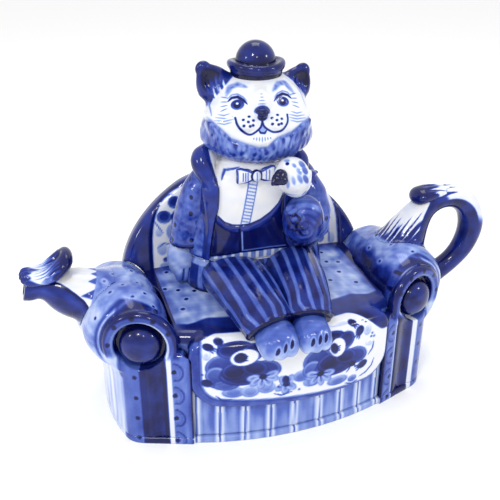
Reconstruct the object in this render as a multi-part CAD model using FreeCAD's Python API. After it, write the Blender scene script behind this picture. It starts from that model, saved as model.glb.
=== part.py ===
"""Sculpted porcelain teapot: a cat in a jacket and bowler hat sits on a rolled-arm sofa.

The sofa is the pot. Tea fills the hollow seat and both hollow arms, the spout stands on the left arm and the
loop handle on the right one. The cat is cut at the waist: hips and legs belong to the pot, and everything
above is a hollow lid whose oval ring drops into the filling mouth. The pieces of each half are cast
separately and stuck together with slip, so they meet face to face.

Frame: millimetres, +Z up, origin in the middle of the flat base, -Y is the front, the spout points along -X.
"""

import FreeCAD
import Part
import math
import os

V = FreeCAD.Vector

# ---- driving dimensions -------------------------------------------------------------------------------
WALL = 4.0                  # porcelain wall
BASE = 4.5                  # floor of the pot
SPLAY = 18.0                # degrees that each arm's front is turned outwards

SEAT_HALF = 57.0            # half width between the arms
FRONT_Y = -61.0             # foremost point of the bowed front, at the base
FRONT_SIDE_Y = -52.0        # where the bowed front meets the arms
ARM_FRONT = (90.0, -40.0)   # outer front corner of an arm
ARM_SIDE_X = 98.0           # widest point of the arm's side wall
ARM_BACK = (90.0, 42.0)     # outer back corner of an arm
BACK_Y = 50.0               # rearmost point of the bowed back

SKIRT_TOP = 24.0            # pleated skirt below the cushion
CUSHION_OUT = 2.0           # the cushion stands this far in front of the skirt
SEAT_TOP = 68.0             # seat surface
ARM_BLOCK_TOP = 64.0        # top of the straight part of an arm

# Roll of the left arm: (y, centre x, centre z, radius); the right arm mirrors it.
ROLL = [
    (-40.0, -81.5, 63.0, 20.0),
    (-16.0, -85.0, 63.5, 22.5),
    (5.0, -86.5, 62.5, 23.5),
    (24.0, -84.0, 59.5, 20.5),
    (37.0, -80.0, 56.0, 16.0),
    (44.0, -78.0, 54.0, 6.0),
]
DISH_R = 14.0               # dish in the scroll's face, with the domed knob in it
DISH_DEPTH = 2.6
STRAINER_Z = 76.0
STRAINER_PITCH = 6.2
STRAINER_HOLE_R = 1.7
KNOB_R = 11.3
KNOB_DEPTH = 7.0

BACKREST_HALF = 80.0        # half width of the backrest at the arms
BACKREST_TOP = 122.5
BACKREST_ARCH = [(0.48, 0.9), (0.81, 0.53), (1.0, 0.0)]     # right half, as fractions of its width and height
BACKREST_FRONT_Y = 29.0     # front face at seat level
BACKREST_DEPTH = 17.0
BACKREST_LEAN = 10.0        # degrees

SEAM = 90.0                 # waist line where the lid parts from the pot
LID_GAP = 0.3
LIFT_GAP = 0.5              # between the pot and the lid's parts that pass beside it
HIP_CENTRE = (-3.0, 9.0)
HIP_HALF = (38.5, 22.5)     # outline at the waist
MOUTH_HALF = (30.0, 15.5)   # oval filling mouth
FLANGE_CLEAR = 0.7          # between mouth and the lid's ring, all round
FLANGE_WALL = 3.2
FLANGE_DROP = 9.0           # how far the lid's ring reaches into the mouth

HEAD_CENTRE = (-4.5, 0.0, 164.5)
HEAD_HALF = (30.0, 27.0, 25.5)
HAT_BASE_Z = 187.5
HAT_TOP_Z = 208.0
HAT_RIM = [                 # band and brim: (radius, height above HAT_BASE_Z)
    (0.0, -3.0), (12.0, -3.0), (13.0, 2.0), (13.2, 4.5), (14.8, 6.5), (14.6, 9.6), (13.2, 9.6), (10.5, 7.8),
    (0.0, 7.8),
]
VENT_R = 1.5
POLE = 0.985                # where a lofted ball is cut flat, as a fraction of its half height


# ---- shape helpers ------------------------------------------------------------------------------------
def oval(centre, across, along, half_a, half_b, power=2.0, count=24):
    """Closed spline wire: a superellipse about centre, spanned by the unit vectors across and along."""
    points = []
    for i in range(count):
        angle = 2.0 * math.pi * i / count
        c, s = math.cos(angle), math.sin(angle)
        a = math.copysign(abs(c) ** (2.0 / power), c) * half_a
        b = math.copysign(abs(s) ** (2.0 / power), s) * half_b
        points.append(V(*centre) + across * a + along * b)
    curve = Part.BSplineCurve()
    curve.interpolate(points, PeriodicFlag=True)
    return Part.Wire([curve.toShape()])


def level_oval(centre, z, half, power=2.0):
    return oval((centre[0], centre[1], z), V(1, 0, 0), V(0, 1, 0), half[0], half[1], power)


def loft(wires, ruled=False):
    return Part.makeLoft(wires, True, ruled)


def pebble(centre, half, turn_z=0.0, tilt_x=0.0, low=-1.0):
    """Ellipsoid lofted through level ovals, from the fraction low of its height up, with tiny flat poles."""
    wires = []
    for i in range(9):
        t = POLE * math.sin(math.pi * (i / 8.0 - 0.5))
        t = max(t, low)
        shrink = math.sqrt(1.0 - t * t)
        wires.append(level_oval((0, 0), t * half[2], (half[0] * shrink, half[1] * shrink)))
        if t == low:
            wires = wires[-1:]
    ball = loft(wires)
    ball.rotate(V(0, 0, 0), V(1, 0, 0), tilt_x)
    ball.rotate(V(0, 0, 0), V(0, 0, 1), turn_z)
    ball.translate(V(*centre))
    return ball


def mirrored(shape):
    return shape.mirror(V(0, 0, 0), V(1, 0, 0))


def largest(shape):
    """The biggest solid: what is left outside a wall after a piece has been cut through it."""
    return max(shape.Solids, key=lambda solid: solid.Volume)


def tube(stations, shrink=0.0):
    """Loft through stations (centre, tangent, half across Y, half in plane); shrink thins every radius."""
    wires = []
    for centre, tangent, half_y, half_plane in stations:
        t = V(*tangent).normalize()
        side = V(0, 1, 0)
        side = (side - t * side.dot(t)).normalize()
        wires.append(oval(centre, side, t.cross(side), half_y - shrink, half_plane - shrink))
    return loft(wires)


def limb(stations):
    """Loft through stations (centre, radius across, radius up) whose sections follow the path's direction."""
    wires = []
    last = len(stations) - 1
    for i, (centre, r_across, r_up) in enumerate(stations):
        before = V(*stations[max(i - 1, 0)][0])
        after = V(*stations[min(i + 1, last)][0])
        t = (after - before).normalize()
        across = t.cross(V(0, 0, 1))
        across = V(1, 0, 0) if across.Length < 0.2 else across.normalize()
        wires.append(oval(centre, across, t.cross(across), r_across, r_up))
    return loft(wires)


def arc(a, b, c):
    return Part.Arc(V(*a), V(*b), V(*c)).toShape()


def line(a, b):
    return Part.makeLine(V(*a), V(*b))


def prism(edges, z_low, z_high):
    """Closed plan outline, drawn at height 0, as a solid between two heights."""
    solid = Part.Face(Part.Wire(edges)).extrude(V(0, 0, z_high - z_low))
    solid.translate(V(0, 0, z_low))
    return solid


# ---- pot ----------------------------------------------------------------------------------------------
def seat_outline(inset, half):
    """Plan of the seat block: bowed front and back, straight sides at x = -half and half."""
    front_side, front = FRONT_SIDE_Y + inset, FRONT_Y + inset
    back_side, back = 47.0 - inset, BACK_Y - inset
    return [
        arc((-half, front_side, 0), (0, front, 0), (half, front_side, 0)),
        line((half, front_side, 0), (half, back_side, 0)),
        arc((half, back_side, 0), (0, back, 0), (-half, back_side, 0)),
        line((-half, back_side, 0), (-half, front_side, 0)),
    ]


def whole_outline():
    """Plan of the pot's flat base, arms included."""
    (fx, fy), (bx, by) = ARM_FRONT, ARM_BACK
    return [
        arc((-SEAT_HALF, FRONT_SIDE_Y, 0), (0, FRONT_Y, 0), (SEAT_HALF, FRONT_SIDE_Y, 0)),
        line((SEAT_HALF, FRONT_SIDE_Y, 0), (fx, fy, 0)),
        arc((fx, fy, 0), (ARM_SIDE_X, 0, 0), (bx, by, 0)),
        arc((bx, by, 0), (0, BACK_Y, 0), (-bx, by, 0)),
        arc((-bx, by, 0), (-ARM_SIDE_X, 0, 0), (-fx, fy, 0)),
        line((-fx, fy, 0), (-SEAT_HALF, FRONT_SIDE_Y, 0)),
    ]


def mouth_cutter(z_low, z_high, grow=0.0):
    half = (MOUTH_HALF[0] + grow, MOUTH_HALF[1] + grow)
    return loft([level_oval(HIP_CENTRE, z_low, half, 2.4), level_oval(HIP_CENTRE, z_high, half, 2.4)])


def make_base():
    return prism(whole_outline(), 0.0, BASE)


def make_seat_box():
    """Skirt, cushion and seat top around one cavity, open to both arms and to the filling mouth."""
    skirt = prism(seat_outline(CUSHION_OUT, SEAT_HALF), BASE, SKIRT_TOP)
    cushion = prism(seat_outline(0.0, SEAT_HALF), SKIRT_TOP, SEAT_TOP)
    cavity = prism(seat_outline(WALL + CUSHION_OUT, SEAT_HALF - WALL), BASE, SEAT_TOP - WALL)
    window = Part.makeBox(4 * SEAT_HALF, 52.0, 38.0, V(-2 * SEAT_HALF, -24.0, 12.0))
    body = skirt.fuse(cushion).removeSplitter()
    return body.cut(cavity).cut(window).cut(mouth_cutter(SEAT_TOP - 2 * WALL, SEAT_TOP + 1))


def arm_block(inset, z_low, z_high):
    """Straight lower part of the left arm; inset moves its outer walls in, not its open inner side."""
    (fx, fy), (bx, by) = ARM_FRONT, ARM_BACK
    k = inset
    return prism(
        [
            line((-SEAT_HALF, FRONT_SIDE_Y + k, 0), (-fx + k, fy + k, 0)),
            arc((-fx + k, fy + k, 0), (-ARM_SIDE_X + k, 0, 0), (-bx + k, by - k, 0)),
            line((-bx + k, by - k, 0), (-SEAT_HALF, 46.0 - k, 0)),
            line((-SEAT_HALF, 46.0 - k, 0), (-SEAT_HALF, FRONT_SIDE_Y + k, 0)),
        ],
        z_low,
        z_high,
    )


def arm_roll(shrink):
    """The rolled top of the left arm; its front section faces along the splayed front."""
    wires = []
    for i, (y, x, z, r) in enumerate(ROLL):
        turn = math.radians(SPLAY) * max(0.0, 1.0 - i / 2.0)
        y_in = y + shrink if i == 0 else y - shrink * i / (len(ROLL) - 1)
        across = V(math.cos(turn), -math.sin(turn), 0)
        radius = max(r - shrink, 1.2)
        wires.append(oval((x, y_in, z), across, V(0, 0, 1), radius, radius))
    return loft(wires)


def make_left_armrest():
    """Hollow arm with a dished scroll in front, open to the seat on its inner side."""
    outer = arm_block(0.0, BASE, ARM_BLOCK_TOP).fuse(arm_roll(0.0))
    outwards = V(-math.sin(math.radians(SPLAY)), -math.cos(math.radians(SPLAY)), 0)
    centre = V(ROLL[0][1], ROLL[0][0], ROLL[0][2])
    dish = Part.makeCylinder(DISH_R, 2 * DISH_DEPTH, centre - outwards * DISH_DEPTH, outwards)
    inner = arm_block(WALL, BASE, ARM_BLOCK_TOP - WALL).fuse(arm_roll(WALL))
    inner_side = Part.makeBox(60, 200, 200, V(-SEAT_HALF, -100, 0))
    return outer.cut(inner).cut(inner_side).cut(dish)


def pierce_strainer(arm):
    """Seven holes through the arm's wall inside the spout's root."""
    for i in range(7):
        angle = math.radians(60 * i)
        reach = 0.0 if i == 6 else STRAINER_PITCH
        start = V(-88.0, reach * math.cos(angle), STRAINER_Z + reach * math.sin(angle))
        arm = arm.cut(Part.makeCylinder(STRAINER_HOLE_R, 40.0, start, V(-1, 0, 0)))
    return arm


def make_left_knob():
    y, x, z, _ = ROLL[0]
    return pebble((x, y, z), (KNOB_R, KNOB_R, KNOB_DEPTH), turn_z=-SPLAY, tilt_x=90)


def backrest_section(inset, y):
    """Arched outline of the backrest in a plane of constant y, before it leans back."""
    half, top, foot = BACKREST_HALF - inset, BACKREST_TOP - inset, SEAT_TOP
    right_side = [(half * across, y, foot + (top - foot) * up) for across, up in BACKREST_ARCH]
    left_side = [(-x, y, z) for x, y, z in reversed(right_side)]
    curve = Part.BSplineCurve()
    curve.interpolate([V(*p) for p in left_side + [(0, y, top)] + right_side])
    return Part.Wire([curve.toShape(), line((half, y, foot), (-half, y, foot))])


def backrest_block():
    """Arched outer shape with softened edges, and the hollow inside it, both leaning back."""
    y0, y1 = BACKREST_FRONT_Y, BACKREST_FRONT_Y + BACKREST_DEPTH
    outer = loft(
        [
            backrest_section(5.0, y0),
            backrest_section(0.0, y0 + 4.5),
            backrest_section(0.0, y1 - 4.5),
            backrest_section(5.0, y1),
        ],
        ruled=True,
    )
    inner = loft([backrest_section(8.0, y0 + WALL), backrest_section(8.0, y1 - WALL)], ruled=True)
    for shape in (outer, inner):
        shape.rotate(V(0, y0, SEAT_TOP), V(1, 0, 0), -BACKREST_LEAN)
    return outer, inner


def make_backrest(arms):
    """Hollow arched back, leaning away from the seat, standing on the seat box."""
    outer, inner = backrest_block()
    back = outer.cut(inner)
    below = Part.makeBox(400, 200, 100, V(-200, -60, SEAT_TOP - 100))
    back = back.cut(below)
    for arm in arms:
        back = back.cut(arm)
    return back


SPOUT = [
    ((-97.0, 0, 75.0), (-1, 0, 0.25), 15.0, 15.5),
    ((-110.0, 0, 79.5), (-1, 0, 0.45), 12.5, 14.0),
    ((-121.0, 0, 85.0), (-1, 0, 0.35), 9.0, 10.5),
    ((-129.0, 0, 87.5), (-1, 0, 0.1), 7.5, 8.0),
    ((-136.0, 0, 87.5), (-1, 0, -0.15), 7.5, 7.0),
]
SPOUT_LEAF = [
    ((-136.5, 0, 94.5), (1, 0, -0.3), 4.0, 1.6),
    ((-131.0, 0, 93.5), (1, 0, 0.0), 7.5, 3.0),
    ((-124.0, 0, 95.0), (1, 0, 0.5), 8.5, 4.2),
    ((-117.5, 0, 99.5), (0.8, 0, 0.8), 8.0, 5.4),
    ((-112.5, 0, 103.5), (1, 0, 0.3), 5.5, 3.2),
]
HANDLE = [
    ((93.0, 0, 82.0), (0.25, 0, 1), 13.0, 14.5),
    ((98.0, 0, 93.0), (0.5, 0, 1), 9.0, 9.5),
    ((106.0, 0, 103.0), (1, 0, 0.9), 7.5, 6.8),
    ((117.0, 0, 107.5), (1, 0, 0.15), 7.5, 6.5),
    ((130.0, 0, 105.0), (1, 0, -0.5), 7.5, 6.8),
    ((139.5, 0, 96.0), (0.5, 0, -1), 7.5, 7.3),
    ((142.0, 0, 84.0), (0, 0, -1), 7.5, 7.5),
    ((138.5, 0, 71.0), (-0.55, 0, -1), 7.2, 6.6),
    ((130.0, 0, 61.0), (-1, 0, -0.85), 7.0, 5.9),
    ((118.0, 0, 53.5), (-1, 0, -0.5), 7.5, 6.5),
    ((105.0, 0, 48.0), (-1, 0, -0.4), 8.5, 7.8),
]
HANDLE_LEAF = [
    ((96.5, 0, 109.5), (1, 0, 0.8), 4.0, 3.0),
    ((99.5, 0, 112.0), (1, 0, 0.6), 7.0, 5.2),
    ((106.0, 0, 114.0), (1, 0, 0.1), 8.0, 4.4),
    ((116.0, 0, 114.5), (1, 0, -0.1), 7.0, 3.0),
    ((126.0, 0, 113.2), (1, 0, -0.3), 4.5, 1.6),
]


def make_spout(arm):
    bore = tube(SPOUT, shrink=3.6)
    mouth = Part.makeCylinder(3.5, 4.0, V(-139.0, 0, 87.4), V(1, 0, 0))
    return largest(tube(SPOUT).cut(arm)).cut(bore).cut(mouth)


def make_handle(arm):
    return largest(tube(HANDLE).cut(arm))


def make_hips():
    """Waist of the trousers on the seat, with the oval filling mouth and its flat rim at the seam.

    The lid's hand rests beside it, so its side leaves room for the hand to go straight up.
    """
    outer = loft(
        [
            level_oval(HIP_CENTRE, SEAT_TOP, (HIP_HALF[0] + 3.0, HIP_HALF[1] + 1.5), 2.6),
            level_oval(HIP_CENTRE, SEAT_TOP + 12, (HIP_HALF[0] + 1.5, HIP_HALF[1] + 1.5), 2.6),
            level_oval(HIP_CENTRE, SEAM, HIP_HALF, 2.6),
        ]
    )
    (x, y, z), (half_x, half_y, _) = RIGHT_HAND
    sweep = (half_x + LIFT_GAP, half_y + LIFT_GAP)
    hand = pebble(RIGHT_HAND[0], tuple(h + LIFT_GAP for h in RIGHT_HAND[1]))
    above = loft([level_oval((x, y), z, sweep), level_oval((x, y), SEAM + 5.0, sweep)])
    return outer.cut(mouth_cutter(SEAT_TOP - 1, SEAM + 1)).cut(backrest_block()[0]).cut(hand).cut(above)


# Legs: (centre, radius across, radius up) from the hips over the seat's edge to the trouser hem.
RIGHT_LEG = [
    ((-21.0, -4.0, 79.5), 17.0, 11.5),
    ((-20.5, -18.0, 80.5), 17.5, 12.5),
    ((-19.0, -34.0, 80.5), 16.5, 12.5),
    ((-17.0, -48.0, 76.5), 14.5, 11.5),
    ((-14.5, -57.5, 70.0), 12.5, 10.5),
]
LEFT_LEG = [
    ((12.5, -4.0, 80.0), 17.0, 12.0),
    ((11.5, -18.0, 81.5), 16.0, 13.0),
    ((9.5, -34.0, 81.5), 14.5, 13.0),
    ((8.0, -48.0, 78.0), 12.5, 12.0),
    ((6.5, -57.5, 71.5), 11.5, 10.5),
]
RIGHT_FOOT = ((-13.7, -63.5, 68.0), (11.5, 11.0, 9.5))
LEFT_FOOT = ((6.0, -63.5, 68.0), (10.0, 11.0, 9.5))


# ---- lid ----------------------------------------------------------------------------------------------
# Torso: (z, centre x, centre y, half width, half depth) from the waist to the neck.
TORSO = [
    (SEAM + LID_GAP, HIP_CENTRE[0], HIP_CENTRE[1], HIP_HALF[0], HIP_HALF[1]),
    (104.0, -4.5, 8.5, 36.0, 23.5),
    (118.0, -5.5, 7.0, 32.0, 24.0),
    (130.0, -6.0, 4.5, 29.0, 22.5),
    (138.0, -5.5, 2.0, 25.0, 19.5),
    (146.0, -5.0, 0.5, 17.0, 14.0),
]


def torso_skin(shrink):
    return loft([level_oval((x, y), z, (a - shrink, b - shrink), 2.4) for z, x, y, a, b in TORSO])


def make_torso():
    vent = Part.makeCylinder(VENT_R, 30.0, V(TORSO[3][1], 15.0, 128.0), V(0, 1, 0))
    return torso_skin(0.0).cut(torso_skin(WALL)).cut(vent)


def make_flange():
    """Shelf inside the torso's waist with the oval ring that drops into the mouth."""
    ring = (MOUTH_HALF[0] - FLANGE_CLEAR, MOUTH_HALF[1] - FLANGE_CLEAR)
    hole = (ring[0] - FLANGE_WALL, ring[1] - FLANGE_WALL)
    low, shelf, top = SEAM - FLANGE_DROP, SEAM + LID_GAP, SEAM + LID_GAP + 3.0
    shelf_plate = torso_skin(WALL).common(Part.makeBox(200, 200, 3.0, V(-100, -100, shelf)))
    skirt = loft([level_oval(HIP_CENTRE, low, ring, 2.4), level_oval(HIP_CENTRE, shelf, ring, 2.4)])
    opening = loft([level_oval(HIP_CENTRE, low - 1, hole, 2.4), level_oval(HIP_CENTRE, top + 1, hole, 2.4)])
    return shelf_plate.fuse(skirt).cut(opening)


def ear(sign):
    x, y, z = HEAD_CENTRE
    low = oval((x + sign * 19.0, y + 1, z + 12.0), V(1, 0, -0.55 * sign).normalize(), V(0, 1, 0), 10.0, 6.5)
    mid = oval((x + sign * 24.5, y + 1, z + 23.0), V(1, 0, -0.45 * sign).normalize(), V(0, 1, 0), 6.8, 4.5)
    tip = oval((x + sign * 28.0, y + 1, z + 31.0), V(1, 0, -0.4 * sign).normalize(), V(0, 1, 0), 1.8, 1.8)
    return loft([low, mid, tip])


def make_head():
    """Hollow head with both ears, open to the torso through the neck."""
    skull = pebble(HEAD_CENTRE, HEAD_HALF)
    ruff = pebble((HEAD_CENTRE[0], HEAD_CENTRE[1], HEAD_CENTRE[2] - 7.0), (30.0, 26.0, 15.5))
    outer = skull.fuse(ruff).fuse(ear(-1)).fuse(ear(1))
    hollow = pebble(HEAD_CENTRE, tuple(h - 4.5 for h in HEAD_HALF))
    neck = Part.makeCylinder(9.0, 30.0, V(HEAD_CENTRE[0], HEAD_CENTRE[1], 130.0))
    return outer.cut(hollow).cut(neck).cut(torso_skin(0.0))


def make_hat():
    """Bowler: a turned band with a rolled brim, and a domed crown."""
    x, y, _ = HEAD_CENTRE
    outline = [V(r, 0, HAT_BASE_Z + z) for r, z in HAT_RIM]
    face = Part.Face(Part.makePolygon(outline + outline[:1]))
    hat = face.revolve(V(0, 0, 0), V(0, 0, 1), 360)
    hat.translate(V(x, y, 0))
    crown_z = HAT_BASE_Z + 9.0
    return hat.fuse(pebble((x, y, crown_z), (9.8, 9.8, HAT_TOP_Z - crown_z), low=-0.2))


RIGHT_SLEEVE = [
    ((-25.0, 5.0, 138.0), 7.0, 7.5),
    ((-32.5, 7.0, 131.0), 7.5, 8.5),
    ((-37.0, 9.0, 120.0), 8.0, 9.0),
    ((-40.5, 10.5, 106.0), 8.0, 9.5),
    ((-42.5, 11.0, 97.0), 8.0, 9.5),
]
RIGHT_HAND = ((-46.0, 12.0, 83.8), (8.5, 9.0, 15.3))
LEFT_SLEEVE = [
    ((12.0, 4.0, 139.0), 7.0, 8.0),
    ((20.0, 5.0, 131.0), 8.5, 9.5),
    ((27.0, 2.0, 118.0), 9.5, 10.5),
    ((28.0, -3.0, 107.0), 9.5, 10.5),
    ((22.5, -10.0, 101.5), 9.5, 9.0),
]
LEFT_HAND = ((15.5, -22.0, 114.5), (12.0, 10.5, 15.0))
BIRD = ((7.5, -30.5, 143.5), (9.8, 10.2, 11.5))
BOW_KNOT = ((-9.0, -19.5, 140.5), (3.4, 3.6, 4.2))


def make_bow():
    """Knot with two flared loops."""
    x, y, z = BOW_KNOT[0]
    bow = pebble(*BOW_KNOT)
    for sign in (-1, 1):
        near = oval((x + sign * 1.0, y, z), V(0, 1, 0), V(0, 0, 1), 1.4, 2.2)
        far = oval((x + sign * 12.0, y + 2.0, z), V(0, 1, 0), V(0, 0, 1), 2.0, 6.0)
        bow = bow.fuse(loft([near, far]))
    return bow


def make_beak():
    x, y, z = BIRD[0]
    base = oval((x - 5.5, y - 8.0, z + 1.0), V(0.8, -0.6, 0), V(0, 0, 1), 3.6, 4.2)
    tip = oval((x - 11.0, y - 13.5, z - 3.5), V(0.8, -0.6, 0), V(0, 0, 1), 0.7, 0.7)
    return loft([base, tip])


def make_tail():
    x, y, z = BIRD[0]
    root = oval((x + 6.5, y + 4.0, z - 1.0), V(0.5, -0.87, 0), V(0, 0, 1), 4.0, 2.0)
    tip = oval((x + 14.0, y + 8.5, z - 2.0), V(0.5, -0.87, 0), V(0, 0, 1), 2.4, 1.2)
    return loft([root, tip])


# ---- assembly -----------------------------------------------------------------------------------------
def build():
    """All nodes; a piece that another one is stuck to is cut back to that one's surface."""
    nodes = {}
    nodes["base_plate"] = make_base()
    nodes["seat_box"] = make_seat_box()
    left_arm = make_left_armrest()
    nodes["left_armrest"] = pierce_strainer(left_arm)
    nodes["right_armrest"] = mirrored(left_arm)
    knob = largest(make_left_knob().cut(left_arm))
    nodes["left_scroll_knob"] = knob
    nodes["right_scroll_knob"] = mirrored(knob)
    nodes["backrest"] = make_backrest([arm_roll(0.0), mirrored(arm_roll(0.0))])

    nodes["spout"] = make_spout(left_arm)
    nodes["spout_leaf"] = largest(tube(SPOUT_LEAF).cut(tube(SPOUT)))
    nodes["handle"] = make_handle(nodes["right_armrest"])
    nodes["handle_leaf"] = tube(HANDLE_LEAF).cut(tube(HANDLE))

    hips = make_hips()
    nodes["cat_hips"] = hips
    hollow_seat = prism(seat_outline(0.0, SEAT_HALF), SEAT_TOP - 40, SEAT_TOP)
    mouth = mouth_cutter(SEAT_TOP - 1, SEAM + 1, grow=1.0)
    lid_room = torso_skin(-LIFT_GAP)
    lid_room.translate(V(0, 0, -LID_GAP))
    right_leg = largest(limb(RIGHT_LEG).cut(hips).cut(hollow_seat).cut(mouth).cut(lid_room))
    left_leg = largest(limb(LEFT_LEG).cut(hips).cut(hollow_seat).cut(mouth).cut(lid_room).cut(right_leg))
    nodes["right_leg"] = right_leg
    nodes["left_leg"] = left_leg
    right_foot = pebble(*RIGHT_FOOT).cut(right_leg).cut(left_leg).cut(hollow_seat)
    nodes["right_foot"] = right_foot
    nodes["left_foot"] = pebble(*LEFT_FOOT).cut(left_leg).cut(right_leg).cut(hollow_seat).cut(right_foot)

    torso = make_torso()
    full_torso = torso_skin(0.0)
    nodes["torso"] = torso
    nodes["lid_flange"] = make_flange()
    head = make_head()
    nodes["head"] = head
    full_head = pebble(HEAD_CENTRE, HEAD_HALF)
    nodes["hat"] = make_hat().cut(full_head).cut(head)
    right_sleeve = limb(RIGHT_SLEEVE).cut(full_torso).cut(head)
    nodes["right_sleeve"] = right_sleeve
    nodes["right_hand"] = pebble(*RIGHT_HAND).cut(right_sleeve).cut(full_torso)
    left_sleeve = limb(LEFT_SLEEVE).cut(full_torso).cut(head)
    nodes["left_sleeve"] = left_sleeve
    left_hand = pebble(*LEFT_HAND).cut(left_sleeve).cut(full_torso)
    nodes["left_hand"] = left_hand
    bird = pebble(*BIRD, turn_z=-35, tilt_x=75).cut(left_hand).cut(full_torso)
    nodes["bird"] = bird
    nodes["bird_beak"] = make_beak().cut(bird)
    nodes["bird_tail"] = make_tail().cut(bird).cut(left_sleeve).cut(full_torso)
    nodes["bow_tie"] = make_bow().cut(full_torso).cut(head).cut(bird).cut(nodes["bird_beak"])
    return nodes


def main():
    os.makedirs("parts", exist_ok=True)
    for name, shape in build().items():
        if len(shape.Solids) != 1 or not shape.isValid():
            print("look at", name, [round(solid.Volume) for solid in shape.Solids])
        largest(shape).exportStep("parts/" + name + ".step")


if __name__ == "__main__":
    main()
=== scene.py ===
"""Looks of the sofa teapot: every cast piece is a smooth distance field, painted in cobalt.

Shapes and painting work in millimetres in the row frame; meshes are made in metres. Each piece
stands for the CAD node of the same name and takes its place from that node's box.
"""

import math

import bpy
import numpy as np
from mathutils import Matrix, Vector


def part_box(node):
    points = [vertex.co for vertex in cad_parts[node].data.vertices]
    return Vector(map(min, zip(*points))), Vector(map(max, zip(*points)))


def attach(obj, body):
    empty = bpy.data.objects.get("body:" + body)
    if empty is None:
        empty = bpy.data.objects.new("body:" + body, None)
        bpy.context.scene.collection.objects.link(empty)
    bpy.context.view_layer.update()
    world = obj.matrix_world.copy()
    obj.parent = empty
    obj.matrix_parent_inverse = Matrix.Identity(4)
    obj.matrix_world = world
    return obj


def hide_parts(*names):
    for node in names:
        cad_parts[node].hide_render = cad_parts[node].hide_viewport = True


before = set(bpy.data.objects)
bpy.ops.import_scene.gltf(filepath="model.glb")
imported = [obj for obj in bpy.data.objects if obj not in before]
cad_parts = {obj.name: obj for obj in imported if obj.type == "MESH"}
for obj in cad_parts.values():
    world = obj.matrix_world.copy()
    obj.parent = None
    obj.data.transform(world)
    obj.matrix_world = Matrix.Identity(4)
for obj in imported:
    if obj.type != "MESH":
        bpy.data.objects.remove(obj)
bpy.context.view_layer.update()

import openvdb

MM = 0.001
FINE = 1.0


# ---- reading the frame --------------------------------------------------------------------------
def corners(node):
    low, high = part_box(node)
    return np.array(low) / MM, np.array(high) / MM


def middle(node):
    low, high = corners(node)
    return (low + high) / 2.0


SEAT_LOW, SEAT_HIGH = corners("seat_box")
BASE_LOW, BASE_HIGH = corners("base_plate")
BACK_LOW = corners("backrest")[0]
KNOB_LOW, KNOB_HIGH = corners("left_scroll_knob")
HIPS_LOW, HIPS_HIGH = corners("cat_hips")
TORSO_LOW = corners("torso")[0]
FLOOR_Z = BASE_HIGH[2]
SEAT_HALF = SEAT_HIGH[0]
SEAT_Z = SEAT_HIGH[2]
SEAM = HIPS_HIGH[2]
WALL = 4.0


# ---- distance fields ----------------------------------------------------------------------------
def smin(a, b, k):
    """Union of two solids with a fillet of about k."""
    h = np.clip(0.5 + 0.5 * (b - a) / k, 0.0, 1.0)
    return b + (a - b) * h - k * h * (1.0 - h)


def smax(a, b, k):
    """Intersection with a rounded edge of about k; smax(a, -b, k) cuts b out of a."""
    return -smin(-a, -b, k)


def ramp(x, low, high):
    """Smooth step from 0 at low to 1 at high."""
    t = np.clip((x - low) / (high - low), 0.0, 1.0)
    return t * t * (3.0 - 2.0 * t)


def oval(p, centre_x, half_x, half_y):
    """Distance outside the rounded-square ovals of the cat's waist, in plan."""
    u, v = np.abs(p[:, 0] - centre_x) / half_x, np.abs(p[:, 1] - 9.0) / half_y
    return ((u**2.4 + v**2.4 + 1e-9) ** (1 / 2.4) - 1.0) * half_y


def turned(p, centre, about_z=0.0, about_x=0.0, about_y=0.0):
    """The points seen from a frame at centre, turned by these degrees (z first, then x, then y)."""
    q = p - np.asarray(centre, dtype=np.float32)
    x, y, z = q[:, 0], q[:, 1], q[:, 2]
    for angle, plane in ((about_z, "z"), (about_x, "x"), (about_y, "y")):
        c, s = math.cos(math.radians(angle)), math.sin(math.radians(angle))
        if plane == "z":
            x, y = c * x + s * y, c * y - s * x
        elif plane == "x":
            y, z = c * y + s * z, c * z - s * y
        else:
            z, x = c * z + s * x, c * x - s * z
    return np.stack([x, y, z], axis=1)


def ball(p, centre, half, **turn):
    """Ellipsoid."""
    q = turned(p, centre, **turn) / np.asarray(half, dtype=np.float32)
    k0 = np.sqrt((q * q).sum(1)) + 1e-6
    k1 = np.sqrt(((q / np.asarray(half)) ** 2).sum(1)) + 1e-6
    return k0 * (k0 - 1.0) / k1


def chain(p, stations, stretch=(1, 1, 1), blend=2.0):
    """Tapered rods from station to station (x, y, z, r), blended; stretch scales the space first."""
    scale = np.asarray(stretch, dtype=np.float32)
    q = p * scale
    result = None
    for (ax, ay, az, ar), (bx, by, bz, br) in zip(stations, stations[1:]):
        a = np.array([ax, ay, az], dtype=np.float32) * scale
        b = np.array([bx, by, bz], dtype=np.float32) * scale
        along = b - a
        t = np.clip((q - a) @ along / (along @ along), 0.0, 1.0)
        d = np.linalg.norm(q - a - t[:, None] * along, axis=1) - (ar + (br - ar) * t)
        result = d if result is None else smin(result, d, blend)
    return result


def torus(p, centre, ring, tube, **turn):
    """Ring about the local Z axis."""
    q = turned(p, centre, **turn)
    flat = np.sqrt(q[:, 0] ** 2 + q[:, 1] ** 2) - ring
    return np.sqrt(flat * flat + q[:, 2] ** 2) - tube


def stack(p, table, power=2.4):
    """Superellipse sections (z, centre x, centre y, half x, half y), smoothly joined up the z axis."""
    rows = np.array(table, dtype=np.float32)
    z = p[:, 2]
    cx, cy, hx, hy = (np.interp(z, rows[:, 0], rows[:, i]) for i in (1, 2, 3, 4))
    u, v = np.abs(p[:, 0] - cx) / hx, np.abs(p[:, 1] - cy) / hy
    return ((u**power + v**power + 1e-9) ** (1.0 / power) - 1.0) * np.minimum(hx, hy)


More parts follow.
